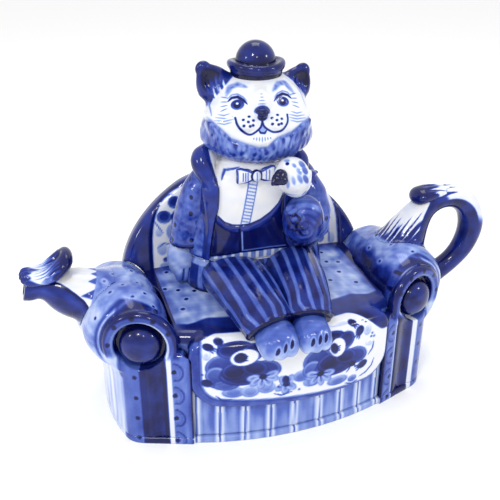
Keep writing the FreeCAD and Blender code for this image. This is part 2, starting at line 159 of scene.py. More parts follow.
def smooth_table(rows, count=40):
    """The same table with more rows on a smooth curve through it."""
    rows = np.array(rows, dtype=float)
    z = np.linspace(rows[0, 0], rows[-1, 0], count)
    slopes = np.gradient(rows[:, 1:], rows[:, 0], axis=0)
    out = []
    for value in z:
        i = min(max(int(np.searchsorted(rows[:, 0], value)) - 1, 0), len(rows) - 2)
        span = rows[i + 1, 0] - rows[i, 0]
        t = (value - rows[i, 0]) / span
        h00, h10 = 2 * t**3 - 3 * t**2 + 1, t**3 - 2 * t**2 + t
        h01, h11 = 3 * t**2 - 2 * t**3, t**3 - t**2
        row = h00 * rows[i, 1:] + h10 * span * slopes[i]
        row = row + h01 * rows[i + 1, 1:] + h11 * span * slopes[i + 1]
        out.append([value, *row])
    return out


def above(p, z):
    """Keeps what is above height z."""
    return z - p[:, 2]


def below(p, z):
    return p[:, 2] - z


# ---- from field to mesh -------------------------------------------------------------------------
CHUNK = 400000      # points worked on at a time
DARKEST = 1.3       # highest pigment; 1 is full cobalt, 0 bare white
def repeated(grid, step, size):
    """The grid with each value repeated step times along every axis, cut to size."""
    for axis in range(3):
        grid = np.repeat(grid, step, axis)
    return grid[: size[0], : size[1], : size[2]]


def field_grid(field, low, size, cell):
    """Field values on a grid; away from the surface they come from a coarser grid."""
    step = 4
    coarse = [np.arange(0, n + step, step, dtype=np.float32) for n in size]
    gx, gy, gz = np.meshgrid(*coarse, indexing="ij")
    points = np.stack([gx, gy, gz], axis=-1).reshape(-1, 3) * cell + low
    rough = field(points.astype(np.float32)).reshape(gx.shape)
    full = repeated(rough, step, size).astype(np.float32)
    near = np.abs(rough) < 2.6 * step * cell
    for axis in range(3):
        near = near | np.roll(near, 1, axis) | np.roll(near, -1, axis)
    where = np.argwhere(repeated(near, step, size))
    for start in range(0, len(where), CHUNK):
        part = where[start : start + CHUNK]
        full[part[:, 0], part[:, 1], part[:, 2]] = field((part * cell + low).astype(np.float32))
    return full


def gradient(field, points, step=0.05):
    slopes = []
    for axis in range(3):
        shift = np.zeros(3, dtype=np.float32)
        shift[axis] = step
        slopes.append((field(points + shift) - field(points - shift)) / (2.0 * step))
    return np.stack(slopes, axis=1)


def facing(field, points):
    """Unit normals of the field at the points."""
    slope = gradient(field, points)
    return slope / np.maximum(np.linalg.norm(slope, axis=1, keepdims=True), 1e-6)


def surface(field, low, high, cell):
    """Points and quads of the surface where the field is zero."""
    low = np.asarray(low, dtype=np.float32) - 3.0 * cell
    size = np.ceil((np.asarray(high) + 3.0 * cell - low) / cell).astype(int) + 1
    values = field_grid(field, low, size, cell)
    grid = openvdb.FloatGrid(background=float(3.0 * cell))
    grid.copyFromArray(np.clip(values, -3.0 * cell, 3.0 * cell))
    points, quads = grid.convertToQuads(isovalue=0.0)
    points = (np.asarray(points) * cell + low).astype(np.float32)
    for _ in range(3):
        slope = gradient(field, points)
        length2 = np.maximum((slope * slope).sum(1), 0.2)
        move = slope * (field(points) / length2)[:, None]
        reach = np.linalg.norm(move, axis=1)
        points -= move * np.minimum(1.0, 0.5 * cell / np.maximum(reach, 1e-6))[:, None]
    return points, np.asarray(quads)


def refined(field, points, quads, chosen):
    """Splits the chosen quads in four, with the new points drawn onto the surface."""
    picked = quads[chosen]
    edges = np.sort(np.stack([picked, np.roll(picked, -1, axis=1)], axis=2).reshape(-1, 2), axis=1)
    unique, index = np.unique(edges, axis=0, return_inverse=True)
    index = index.reshape(-1, 4)
    extra = np.vstack([points[unique].mean(axis=1), points[picked].mean(axis=1)]).astype(np.float32)
    slope = gradient(field, extra)
    steep = np.maximum((slope * slope).sum(1), 0.05)
    extra = extra - np.clip(field(extra) / steep, -0.2, 0.2)[:, None] * slope
    middle = len(points) + index
    centre = len(points) + len(unique) + np.arange(len(picked))
    parts = [quads[~chosen]]
    for k in range(4):
        parts.append(np.stack([picked[:, k], middle[:, k], centre, middle[:, k - 1]], axis=1))
    return np.vstack([points, extra]), np.vstack(parts)


def build(name, body, field, paint, material, cell, margin, fine):
    """Sculpts one piece in place of the CAD node of that name, and paints its points."""
    low, high = corners(name)
    points, quads = surface(field, low - margin, high + margin, cell * FINE)
    if fine is not None:
        points, quads = refined(field, points, quads, fine(points[quads].mean(axis=1)))
    tone = np.clip(paint(points, facing(field, points)), 0.0, DARKEST)
    mesh = bpy.data.meshes.new("look_" + name)
    mesh.from_pydata((points * MM).tolist(), [], quads[:, ::-1].tolist())
    mesh.polygons.foreach_set("use_smooth", np.ones(len(mesh.polygons), dtype=bool))
    pigment = mesh.attributes.new("pigment", "FLOAT", "POINT")
    pigment.data.foreach_set("value", tone.astype(np.float32))
    mesh.materials.append(material)
    piece = bpy.data.objects.new("look_" + name, mesh)
    bpy.context.scene.collection.objects.link(piece)
    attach(piece, body)
    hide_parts(name)


# ---- sofa ---------------------------------------------------------------------------------------
BOW_SAG = 9.0
BOW_R = (SEAT_HALF**2 + BOW_SAG**2) / (2.0 * BOW_SAG)
BOW_Y = SEAT_LOW[1] + BOW_R               # centre of the bowed front's circle
REAR_SAG = 3.0
REAR_R = (SEAT_HALF**2 + REAR_SAG**2) / (2.0 * REAR_SAG)
REAR_Y = SEAT_HIGH[1] - REAR_R
CUSHION_Z = SEAT_Z - 45.5                 # lowest line of the seat cushion's front
SPLAY = 20.0
SCROLL = (KNOB_LOW + KNOB_HIGH) / 2.0 + np.array([0.6, 1.2, 0.0])
SCROLL_OUT = np.array([-math.sin(math.radians(SPLAY)), -math.cos(math.radians(SPLAY)), 0.0])
SCROLL_F, OUT_F = SCROLL.astype(np.float32), SCROLL_OUT.astype(np.float32)
ROLL = [
    (-81.5, -36.0, 63.0, 20.0),
    (-85.2, -16.0, 63.5, 22.5),
    (-86.5, 4.0, 62.5, 23.3),
    (-84.0, 24.0, 59.5, 20.5),
    (-80.0, 35.0, 56.5, 16.5),
]
ARM_INNER = (-SEAT_HALF, -52.0)
LEAN = 10.0
LEAN_AT = np.array([0.0, BACK_LOW[1], BACK_LOW[2]])
ARCH_HALF = 78.5
ARCH_RISE = 65.0


def bow(p):
    """(arc length from the middle, distance from the bow's centre) on the sofa's bowed front."""
    x, y = p[:, 0], BOW_Y - p[:, 1]
    return BOW_R * np.arctan2(x, y), np.sqrt(x * x + y * y)


def seat_top(p):
    """Height of the seat: it rises a little to the back and the middle."""
    x, y = p[:, 0], p[:, 1]
    return SEAT_Z - 1.2 + 3.4 * ramp(y, -48.0, 30.0) + 1.2 * (1.0 - (x / 62.0) ** 2)


def cushion_edge(s, z):
    """Distance outside the cushion's front outline, with rounded lower corners."""
    corner = 17.0
    a = np.abs(s) - (SEAT_HALF + 3.0 - corner)
    b = (CUSHION_Z + 3.0 * (s / 57.0) ** 2 - 0.02 * s + corner) - z
    outside = np.sqrt(np.maximum(a, 0.0) ** 2 + np.maximum(b, 0.0) ** 2) + np.minimum(np.maximum(a, b),
                                                                                      0.0)
    return outside - corner


def seat_field(p):
    s, rho = bow(p)
    x, y, z = p[:, 0], p[:, 1], p[:, 2]
    rear = np.sqrt(x * x + (y - REAR_Y) ** 2) - REAR_R
    pleat = 0.7 * np.exp(-((np.abs(s[:, None] - PLEATS[None, :]).min(1) / 1.1) ** 2)) - 0.35
    skirt = smax(smax(rho - (BOW_R - 2.6 + pleat), z - 50.0, 2.0), y - 20.0, 1.0)
    face = rho - (BOW_R + 0.6 - 0.0009 * (z - 46.0) ** 2)
    cushion = smax(smax(face, cushion_edge(s, z), 3.5), z - seat_top(p), 11.0)
    body = smax(smax(rear, z - seat_top(p), 2.0), rho - (BOW_R - 8.0), 7.0)
    d = smin(smin(skirt, cushion, 1.2), body, 1.0)
    d = smax(d, rear, 1.0)
    reach = SEAT_HALF + (5.0 + 4.0 * ramp(y, 0.0, 18.0)) * ramp(z, 56.0, 60.0)
    d = smax(d, np.abs(x) - reach, 0.4)
    d = np.maximum(d, FLOOR_Z - z)
    inner = np.maximum(rho - (BOW_R - 6.6), np.maximum(np.abs(x) - 53.0, z - 64.0))
    d = np.maximum(d, -np.maximum(inner, rear + WALL))
    window = np.maximum(np.maximum(-24.0 - y, y - 28.0), np.maximum(12.0 - z, z - 50.0))
    d = np.maximum(d, -np.maximum(window, 40.0 - np.abs(x)))
    return np.maximum(d, -mouth_field(p))


def mouth_field(p):
    """The oval filling mouth as an endless upright hole."""
    return oval(p, (HIPS_LOW[0] + HIPS_HIGH[0]) / 2.0, 30.0, 15.5)


def base_field(p):
    """Floor slab: the sofa's whole outline, with the same splayed fronts."""
    q = p.copy()
    q[:, 0] = -np.abs(q[:, 0])
    rho = bow(p)[1]
    seat = np.maximum(rho - (BOW_R - 1.4), np.abs(p[:, 0]) - SEAT_HALF - 1.0)
    rear = np.sqrt(p[:, 0] ** 2 + (p[:, 1] - REAR_Y) ** 2) - REAR_R
    outline = smin(smax(seat, rear, 2.0), arm_plan(q), 1.0)
    return smax(np.maximum(p[:, 2] - FLOOR_Z, -p[:, 2] + BASE_LOW[2] + 0.02), outline, 1.2)


def panel_along(p):
    """Distance along the left arm's front panel, from its inner edge outwards."""
    c, s = math.cos(math.radians(SPLAY)), math.sin(math.radians(SPLAY))
    return -((p[:, 0] - ARM_INNER[0]) * c - (p[:, 1] - ARM_INNER[1]) * s)


def arm_front(p):
    """Distance in front of the left arm's splayed panel."""
    return (p[:, 0] - ARM_INNER[0]) * SCROLL_OUT[0] + (p[:, 1] - ARM_INNER[1]) * SCROLL_OUT[1]


def arm_plan(p):
    """The left arm's outline seen from above."""
    x, y = p[:, 0], p[:, 1]
    side = np.sqrt((x - 11.0) ** 2 + (y - 1.0) ** 2) - 109.0
    rear = (y - 42.0) * 0.99 - (x + 90.0) * 0.12
    plan = smax(smax(arm_front(p), side, 5.0), rear, 5.0)
    return np.maximum(plan, x + SEAT_HALF)


def flutes(p):
    """Relief of the arm's front panel: two ribs beside a hollow flute."""
    a = panel_along(p)
    hollow = 1.5 * np.exp(-(((a - 17.0) / 4.6) ** 2)) + 0.7 * np.exp(-(((a - 8.8) / 1.1) ** 2))
    return (hollow + 0.7 * np.exp(-(((a - 24.6) / 1.0) ** 2))) * ramp(-p[:, 2], -60.0, -48.0)


def arm_outer(p):
    """Outer skin of the left arm: block, swollen roll and scroll ring."""
    z = p[:, 2]
    block = arm_plan(p) + 0.0 * z
    block = block + flutes(p) * ramp(arm_front(p), -5.0, -1.5)
    block = smax(block, z - 60.0, 7.0)
    roll = chain(p, ROLL, blend=6.0) + 0.9
    facing = (p - SCROLL_F) @ OUT_F
    roll = smax(roll, facing + 1.0, 3.0)
    d = smin(block, roll, 3.5)
    ring = torus(p, SCROLL - SCROLL_OUT * 0.6, 16.9, 3.5, about_z=-SPLAY, about_x=90.0)
    d = smin(d, ring, 0.8)
    q = p - SCROLL_F
    radial = np.sqrt(np.maximum((q * q).sum(1) - facing * facing, 0.0))
    dish = np.maximum(radial - 13.4, -facing - 2.6)
    return smax(d, -dish, 1.0)


def arm_field(p):
    d = arm_outer(p)
    d = np.maximum(d, FLOOR_Z - p[:, 2])
    d = smax(d, p[:, 0] + SEAT_HALF + 5.0 * ramp(p[:, 2], 56.0, 60.0), 0.3)
    behind = (p - SCROLL_F) @ -OUT_F
    hollow = np.maximum(arm_outer(p) + WALL, 5.0 - behind)
    return np.maximum(d, -hollow)


def mirrored(field):
    """The same field for the piece on the other side."""
    flip = np.array([-1, 1, 1], dtype=np.float32)
    return lambda p: field(p * flip)


def knob_field(p):
    d = ball(p, SCROLL - SCROLL_OUT * 1.0, (11.3, 7.6, 11.3), about_z=-SPLAY)
    facing = (p - SCROLL_F) @ OUT_F
    return np.maximum(d, -facing - 2.7)


def unleaned(p):
    return turned(p, LEAN_AT, about_x=-LEAN)


def arch(q):
    """Distance outside the backrest's arched outline, in its own upright frame."""
    e = np.where(q[:, 0] < 0.0, 1.76, 1.6)
    u, v = np.abs(q[:, 0]) / ARCH_HALF, np.maximum(q[:, 2], 0.0) / ARCH_RISE
    f = (u**e + v**e + 1e-9) ** (1.0 / e)
    gu = (u / f) ** (e - 1) / ARCH_HALF
    gv = (v / f) ** (e - 1) / ARCH_RISE
    return smax((f - 1.0) / np.sqrt(gu * gu + gv * gv + 1e-9), q[:, 2] - 59.0, 6.0)


def backrest_field(p):
    q = unleaned(p)
    edge = arch(q)
    border = 1.2 * ramp(-panel_inside(q), -0.6, 2.0)
    front = -q[:, 1] + 1.4 - border
    back = q[:, 1] - 15.6 - 1.2 * ramp(edge, -11.5, -9.0)
    d = smax(smax(front, back, 8.0), edge, 7.0)
    hollow = smax(smax(front, back, 4.0), edge, 4.0) + WALL
    d = np.maximum(d, -np.maximum(hollow, above(p, BACK_LOW[2] - 1.0)))
    d = np.maximum(d, BACK_LOW[2] - p[:, 2])
    q2 = p.copy()
    q2[:, 0] = -np.abs(q2[:, 0])
    return np.maximum(d, -(chain(q2, ROLL, blend=6.0) + 0.3))


# ---- spout and handle ---------------------------------------------------------------------------
SPOUT = [(-97, 0, 74.5, 15.0), (-107.5, 0, 78.2, 13.6), (-113.5, 0, 80.8, 11.6), (-119, 0, 84.0, 8.8),
         (-125, 0, 86.0, 6.9), (-130.5, 0, 86.2, 6.4), (-137, 0, 85.4, 6.2)]
SPOUT_LEAF = [(-133.8, 0, 93.0, 2.4), (-129.4, 0, 92.0, 3.2), (-122.6, 0, 93.0, 3.8),
              (-116.8, 0, 96.2, 4.4), (-112.4, 0, 100.2, 3.8), (-111.2, 0, 102.4, 2.1)]
HANDLE = [(91, 0, 80, 14.0), (98, 0, 93, 9.6), (105, 0, 102, 7.2), (115, 0, 107, 6.6),
          (127, 0, 106.4, 6.8), (136.6, 0, 99, 7.1), (140.8, 0, 86, 7.2), (137.6, 0, 72.5, 6.5),
          (130, 0, 62.6, 5.8), (118.5, 0, 54.8, 6.2), (104, 0, 48.2, 7.8)]
HANDLE_LEAF = [(99.4, 0, 108.6, 3.2), (101.6, 0, 110.2, 3.9), (107, 0, 111.4, 3.6),
               (116, 0, 112.0, 2.8), (128, 0, 110.6, 1.7)]


def curve(stations, steps=4):
    """Rounder path through the same stations."""
    rows = np.array(stations, dtype=float)
    ends = np.vstack([2 * rows[0] - rows[1], rows, 2 * rows[-1] - rows[-2]])
    out = []
    for a, b, c, d in zip(ends, ends[1:], ends[2:], ends[3:]):
        for i in range(steps):
            t = i / steps
            out.append(0.5 * (2 * b + (c - a) * t + (2 * a - 5 * b + 4 * c - d) * t**2
                              + (3 * b - a - 3 * c + d) * t**3))
    return [tuple(row) for row in out] + [tuple(rows[-1])]


SPOUT_PATH, HANDLE_PATH = curve(SPOUT, 3), curve(HANDLE, 4)
LEAF_PATH, CURL_PATH = curve(SPOUT_LEAF, 3), curve(HANDLE_LEAF, 3)


def grown_from(part, host, fillet):
    """The part outside its host, with a slip fillet where it leaves it."""
    return np.maximum(smin(part, host, fillet), 0.03 - host)


def spout_pipe(p, shrink=0.0):
    path = [(x, y, z, r - shrink) for x, y, z, r in SPOUT_PATH]
    return chain(p, path, stretch=(1, 0.97, 1), blend=1.5)


def spout_field(p):
    d = spout_pipe(p)
    d = smax(d, -135.0 - p[:, 0] + 0.25 * (p[:, 2] - 86.0), 1.2)
    d = smin(d, ball(p, (-131.8, 0, 82.4), (3.6, 5.2, 3.2)), 2.0)
    d = grown_from(d, arm_outer(p), 4.0)
    bore = spout_pipe(p, 3.4)
    return smax(d, -bore, 0.8)


def spout_leaf_field(p):
    d = chain(p, LEAF_PATH, stretch=(1, 0.42, 1), blend=2.0)
    hollow = ball(p, (-123.4, 0, 102.0), (9.5, 5.0, 6.2), about_y=-14)
    d = smax(d, -hollow, 2.0)
    notch = 0.5 * np.cos(1.9 * p[:, 1]) * ramp(-p[:, 0], 128.0, 135.0)
    return smax(d + notch, -spout_pipe(p) + 0.05, 0.3)


def handle_bar(p):
    return chain(p, HANDLE_PATH, stretch=(1, 0.93, 1), blend=1.5)


def handle_field(p):
    return grown_from(handle_bar(p), mirrored(arm_outer)(p), 4.0)


def handle_leaf_field(p):
    d = chain(p, CURL_PATH, stretch=(1, 0.56, 1), blend=2.0)
    rib = 0.35 * np.cos(1.35 * p[:, 1]) * ramp(p[:, 0], 101.0, 108.0)
    return smax(d + rib, -handle_bar(p) + 0.05, 0.3)


# ---- cat: below the seam ------------------------------------------------------------------------
HIPS = smooth_table([(64, -3, 9, 39, 23), (72, -3, 9, 41.8, 24.6), (82, -3, 9, 41.2, 24.2),
                     (87, -3, 9, 39.9, 23.4), (90, -3, 9, 38.3, 22.3)])
RIGHT_LEG = curve([(-21, -2, 79.5, 17), (-20.5, -18, 80.3, 17.3), (-19, -34, 80.2, 16.4),
                   (-17, -48, 76.3, 14.4), (-14.6, -57.0, 70.4, 12.7)], 3)
LEFT_LEG = curve([(13, -2, 80, 17), (11.8, -18, 81.3, 15.8), (9.8, -34, 81.3, 14.4),
                  (8, -48, 77.8, 12.5), (6.3, -57.0, 71.8, 11.6)], 3)
RIGHT_HAND = ((-46.0, 12.0, 84.8), (8.5, 9.0, 13.6))


def hand_way(p):
    """Upright channel that the lid's hand needs on its way up."""
    q = p.copy()
    q[:, 2] = np.minimum(q[:, 2], RIGHT_HAND[0][2])
    return ball(q, *RIGHT_HAND)


def sleeve_way(p):
    q = p.copy()
    q[:, 2] = np.minimum(q[:, 2], LEFT_ARM[-1][2])
    return chain(q, LEFT_ARM[-2:], blend=2.0)


def hips_field(p):
    d = stack(p, HIPS, 2.3)
    d = smax(d, below(p, SEAM), 1.2)
    d = np.maximum(d, above(p, SEAT_Z - 1.0))
    d = np.maximum(d, -mouth_field(p))
    return smax(d, 0.6 - hand_way(p), 1.0)


def leg_angle(p, path):
    """Angle round the leg, 0 on top."""
    rows = np.array(path)
    order = np.argsort(rows[:, 1])
    cx = np.interp(p[:, 1], rows[order, 1], rows[order, 0])
    cz = np.interp(p[:, 1], rows[order, 1], rows[order, 2])
    return np.arctan2(p[:, 0] - cx, p[:, 2] - cz)


def leg_field(path, tall):
    end, before = np.array(path[-1][:3]), np.array(path[-3][:3])
    forward = (end - before) / np.linalg.norm(end - before)

    def field(p):
        d = chain(p, path, stretch=(1, 1, tall), blend=3.0)
        d = d - 0.2 * np.cos(14.0 * leg_angle(p, path)) * ramp(-p[:, 1], 8.0, 18.0)
        past = (p - end.astype(np.float32)) @ forward.astype(np.float32)
        d = d - 0.7 * np.exp(-(((past + 1.6) / 1.5) ** 2))
        d = smax(d, past, 1.0)
        d = np.maximum(d, -stack(p, HIPS, 2.3))
        lid = np.maximum(0.8 - stack(p, TORSO, 2.4) , 0.7 - sleeve_way(p))
        lid = np.where(p[:, 2] > SEAM - 0.6, lid, -9.0)
        return smax(d, lid, 0.5)

    return field


def foot_field(centre, half):
    cx, cy, cz = centre

    def field(p):
        d = ball(p, centre, half)
        for k in (-1, 0, 1):
            toe = (cx + 0.52 * half[0] * k, cy - 0.55 * half[1] + 0.9 * abs(k), cz - 1.5)
            d = smin(d, ball(p, toe, (0.40 * half[0], 0.55 * half[1], 0.72 * half[2])), 1.6)
        instep = ball(p, (cx, cy + 5.0, cz + 2.5), (half[0] * 0.92, 9.0, 8.0))
        return smin(d, instep, 3.0)

    return field


RIGHT_FOOT = ((-13.7, -63.0, 67.6), (11.2, 9.6, 9.2))
LEFT_FOOT = ((6.0, -63.0, 67.8), (9.8, 9.6, 9.0))

# ---- cat: the lid -------------------------------------------------------------------------------
TORSO = smooth_table([(90.3, -3, 9, 38.5, 22.5), (104, -4.5, 8.5, 36, 23.5), (118, -5.5, 7, 32, 24),
                      (130, -6, 4.5, 29.2, 22.5), (138, -5.5, 2, 25.5, 19.5), (146, -5, 0.5, 18, 14.5)],
                     56)
EDGE_LEFT = np.array([(88, -34.6), (91.7, -34.2), (101.9, -33.2), (114.0, -31.6), (122.6, -30.0),
                      (133.5, -29.2), (138.7, -29.9), (147, -31.5)])
EDGE_RIGHT = np.array([(88, 11.6), (95.3, 10.3), (101, 7.6), (118, 5.2), (128, 5.0), (134, 8.0),
                       (140, 12.0), (147, 15.0)])
NECKLINE = np.array([(-32, 121.0), (-30.2, 118.3), (-26.5, 114.4), (-22.5, 112.9), (-18.4, 112.7),
                     (-13, 113.2), (-7.6, 115.2), (-2.0, 119.0), (2.3, 123.4), (4.5, 127.4),
                     (8, 134.0)])
HEM = np.array([(-34, 93.0), (-32.4, 93.4), (-17.8, 96.0), (-0.7, 96.2), (10, 95.4), (14, 95.2)])
COLLAR = curve([(-31.0, -6.5, 134, 3.2), (-34.2, -2.0, 142.0, 4.8), (-33.2, 3.0, 147.6, 5.8),
                (-21, 12, 147.5, 5.0), (-6, 15, 147.8, 4.8), (9, 12, 145.5, 4.8),
                (20.5, 4.5, 141.8, 5.2), (20.5, -2, 137.0, 4.2), (15.5, -7.0, 129, 3.0)], 3)
SHIRT_FLAP = [(-27.2, 138.4), (-25.0, 143.6), (-18.2, 146.0), (-16.5, 144.0), (-21.0, 142.2),
              (-26.2, 138.0)]
PLACKET = np.array([(112.5, -16.0), (114.6, -15.6), (126.0, -13.9), (139.5, -11.6)])
CUFF_Z = 95.0       # where the right sleeve ends
RIGHT_ARM = curve([(-25, 5, 138, 7.2), (-32.5, 6.5, 131, 8.2), (-37.2, 8.2, 120, 8.9),
                   (-40.6, 10, 106, 9.0), (-42.6, 10.8, 95, 9.0)], 3)
LEFT_ARM = curve([(12, 4, 139, 7.6), (20.5, 4.5, 131, 9.2), (27, 2, 118, 10.4), (28, -3, 107.5, 10.4),
                  (22.5, -10, 101.8, 9.3)], 3)


def along_z(table, p):
    return np.interp(p[:, 2], table[:, 0], table[:, 1])


def along_x(table, p):
    return np.interp(p[:, 0], table[:, 0], table[:, 1])


def torso_zones(p):
    """Distances over the chest: into the jacket's opening, below the neckline, above the hem."""
    x, y, z = p[:, 0], p[:, 1], p[:, 2]
    opening = np.minimum(x - along_z(EDGE_LEFT, p), along_z(EDGE_RIGHT, p) - x)
    opening = np.where(y < 4.0, opening, -20.0)
    return opening, along_x(NECKLINE, p) - z, z - along_x(HEM, p)


def torso_field(p):
    x, y, z = p[:, 0], p[:, 1], p[:, 2]
    opening, low, high = torso_zones(p)
    d = stack(p, TORSO, 2.4)
    outer = d - 1.1 * ramp(-opening, -0.6, 1.2)
    left = along_z(EDGE_LEFT, p) - x
    width = np.interp(z, [90, 102, 113, 122, 135, 150], [3.0, 3.2, 3.8, 6.8, 8.8, 9.0])
    front = ramp(-y, -6.0, 2.0)
    lapel = ramp(left, -0.7, 0.8) * ramp(width - left, -0.6, 1.4)
    right = x - along_z(EDGE_RIGHT, p)
    lapel = lapel + ramp(right, -0.7, 0.8) * ramp(4.0 - right, -0.6, 1.4)
    outer = outer - 0.95 * lapel * front
    inside = ramp(opening, -0.3, 0.8) * front
    vest = ramp(low, -0.4, 0.8) * ramp(high, -0.4, 0.6)
    band = np.exp(-(((low - 1.8) / 1.7) ** 2))
    outer = outer - inside * (0.45 * vest + 0.35 * band * ramp(high, 0.0, 1.0))
    closing = x - np.interp(z, [96, 113], [-17.2, -18.3])
    flap = ramp(closing, -0.4, 0.5) * ramp(8.0 - np.abs(closing), 0.0, 8.0)
    outer = outer - inside * 0.35 * vest * flap * ramp(low, 1.5, 3.0)
    strip = 2.35 - np.abs(x - along_z(PLACKET, p))
    outer = outer - 0.3 * inside * ramp(strip, -0.3, 0.5) * ramp(-low, 0.0, 0.8)
    flap_edge = near_line(p, SHIRT_FLAP)
    outer = outer - 0.35 * inside * np.exp(-((flap_edge / 1.5) ** 2)) * ramp(-low, 6.0, 9.0)
    neck = ball(p, (-5.5, -1.5, 143.0), (21.0, 17.2, 7.5))
    outer = smin(outer, neck, 4.0)
    d = smin(outer, np.where(z > 120, chain(p, COLLAR, blend=2.5), 50.0), 1.2)
    d = np.maximum(d, -(stack(p, TORSO, 2.4) + WALL))
    d = smax(d, above(p, TORSO_LOW[2]), 0.8)
    vent = np.maximum(np.sqrt((x + 6.0) ** 2 + (z - 128.0) ** 2) - 1.5, 10.0 - y)
    return np.maximum(d, -vent)


def near_line(p, points):
    """Distance in the x-z plane to a broken line."""
    q = p[:, [0, 2]]
    best = np.full(len(p), 99.0, dtype=np.float32)
    for a, b in zip(points, points[1:]):
        a, b = np.array(a, dtype=np.float32), np.array(b, dtype=np.float32)
        t = np.clip((q - a) @ (b - a) / ((b - a) @ (b - a)), 0, 1)
        best = np.minimum(best, np.linalg.norm(q - a - t[:, None] * (b - a), axis=1))
    return best


def flange_field(p):
    ring = smax(smax(oval(p, -3.0, 29.3, 14.8), above(p, 81.0), 1.0), below(p, 92.0), 0.3)
    shelf = smax(smax(oval(p, -3.0, 34.4, 18.6), above(p, 90.3), 0.4), below(p, 93.3), 0.4)
    return smax(smin(ring, shelf, 0.6), -oval(p, -3.0, 26.1, 11.6), 1.0)


def sleeve_field(path, end=None):
    def field(p):
        d = chain(p, path, blend=4.0)
        folds = 0.3 * np.cos(0.55 * p[:, 2] + 0.12 * p[:, 0]) * ramp(-p[:, 1], -14.0, 0.0)
        d = d + folds
        if end is not None:
            d = d - 0.5 * np.exp(-(((p[:, 2] - end - 1.6) / 1.5) ** 2))
            d = smax(d, above(p, end), 0.8)
        return smax(d, 0.05 - stack(p, TORSO, 2.4), 0.3)

    return field


def right_hand_field(p):
    d = ball(p, *RIGHT_HAND)
    for x in (-49.2, -45.6, -42.2):
        toe = ball(p, (x, 6.6, 77.4), (2.6, 3.6, 5.4))
        d = smin(d, toe, 1.4)
    return d


PAW_AT = np.array([15.5, -22.0, 114.5])


def left_hand_field(p):
    d = ball(p, PAW_AT, (11.8, 10.3, 14.6))
    for x, y, z in ((6.8, -27.2, 123.6), (8.2, -30.4, 119.6), (11.2, -32.0, 115.8)):
        d = smin(d, ball(p, (x, y, z), (3.6, 3.4, 2.9), about_z=30), 1.3)
    q = turned(p, (13.0, -30.0, 112.0), about_z=-18)
    swirl = np.sqrt(q[:, 0] ** 2 + q[:, 2] ** 2)
    return d + 0.12 * np.cos(2.1 * swirl) * ramp(-p[:, 1], 20.0, 28.0) * ramp(11.0 - swirl, 0.0, 5.0)


BIRD_AT = np.array([4.9, -30.4, 144.9])


def bird_field(p):
    d = ball(p, BIRD_AT, (8.9, 9.0, 9.2))
    d = smin(d, ball(p, (8.4, -27.4, 139.8), (8.0, 8.2, 8.6)), 4.0)
    for side, x, y in ((1, 11.6, -33.2), (-1, 7.6, -21.5)):
        wing = ball(p, (x, y, 141.8), (4.4, 1.8, 6.2), about_z=38 * side + 8, about_x=20)
        d = smin(d, wing, 1.2)
    return d


def beak_field(p):
    d = chain(p, [(-2.6, -35.4, 146.8, 3.2), (-5.6, -37.8, 146.0, 2.8), (-9.2, -39.4, 144.2, 0.7)],
              stretch=(1, 1, 1.0), blend=1.5)
    upper = ball(p, (-3.6, -36.2, 148.2), (2.7, 2.7, 2.4))
    lobes = smin(upper, ball(p, (-2.6, -37.8, 145.2), (2.5, 2.5, 2.4)), 0.8)
    return smin(d, lobes, 1.0)


def tail_field(p):
    return chain(p, [(13.2, -26.5, 142.5, 3.4), (18.0, -24.0, 141.6, 2.8), (21.4, -22.2, 141.6, 1.7)],
                 stretch=(1, 1, 1.5), blend=1.5)


KNOT_AT = (-11.0, -20.2, 142.6)


def bow_field(p):
    x, y, z = KNOT_AT
    knot = ball(p, KNOT_AT, (2.7, 2.8, 3.4))
    d = None
    for side, dy in ((-1, 1.2), (1, 0.6)):
        path = [(x + side * 1.5, y, z, 1.8), (x + side * 5.0, y + dy * 0.6, z + 0.2, 3.6),
                (x + side * 8.4, y + dy * 1.6, z + 0.4, 4.5)]
        q = p.copy()
        q[:, 1] = (q[:, 1] - y) * 2.6 + y
        loop = chain(q, path, blend=1.5)
        loop = smax(loop, side * (p[:, 0] - x) - 10.4 - 0.12 * np.abs(p[:, 2] - z), 0.8)
        fold = 0.7 * np.exp(-(((p[:, 2] - z) / 1.0) ** 2)) * ramp(9.0 - side * (p[:, 0] - x), 0.0, 6.0)
        loop = loop * 0.6 + fold
        d = loop if d is None else smin(d, loop, 0.5)
    return smin(d, knot, 0.5)


# ---- cat: head ----------------------------------------------------------------------------------
FACE_AT = np.array([-4.5, 0.0, 164.5])
FACE_TURN = -12.0
SIGHT = math.tan(math.radians(26.1))
RUFF_TOP = np.array([(-34, 8.5), (-28.9, 6.1), (-21.7, 4.0), (-15.1, -0.5), (-6.1, -3.1), (-1.3, -4.7),
                     (2.9, -4.4), (8.1, 0.3), (15.6, 2.0), (24.2, 5.6), (32, 8.5)])


def face(p):
    """Coordinates on the face: to the side, up, and forward."""
    q = turned(p, FACE_AT, about_z=FACE_TURN)
    return q[:, 0], q[:, 2], -q[:, 1]


def depth(u, w):
    return 27.0 * np.sqrt(np.maximum(1.0 - (u / 30.0) ** 2 - (w / 25.5) ** 2, 0.02))


def lie(u, w):
    """Height of a face mark along the line of sight, so that it stays put when the relief changes."""
    return w - SIGHT * depth(u, w)


RUFF_LINE = np.array([(u, lie(u, w)) for u, w in RUFF_TOP])


def ruff_side(p):
    """Height over the ruff's upper edge, seen along the line of sight: above 0 is face."""
    u, w, f = face(p)
    line = np.interp(u, RUFF_LINE[:, 0], RUFF_LINE[:, 1])
    return (w - SIGHT * f) - line


EARS = (
    ([(-18.5, 2.0, 179.0, 11.0), (-27.2, 1.5, 187.0, 8.8), (-32.6, 1.0, 195.0, 4.2)], -1),
    ([(9.5, -1.0, 178.0, 10.4), (16.8, -1.5, 184.4, 8.2), (20.8, -1.5, 191.4, 4.0)], 1),
)


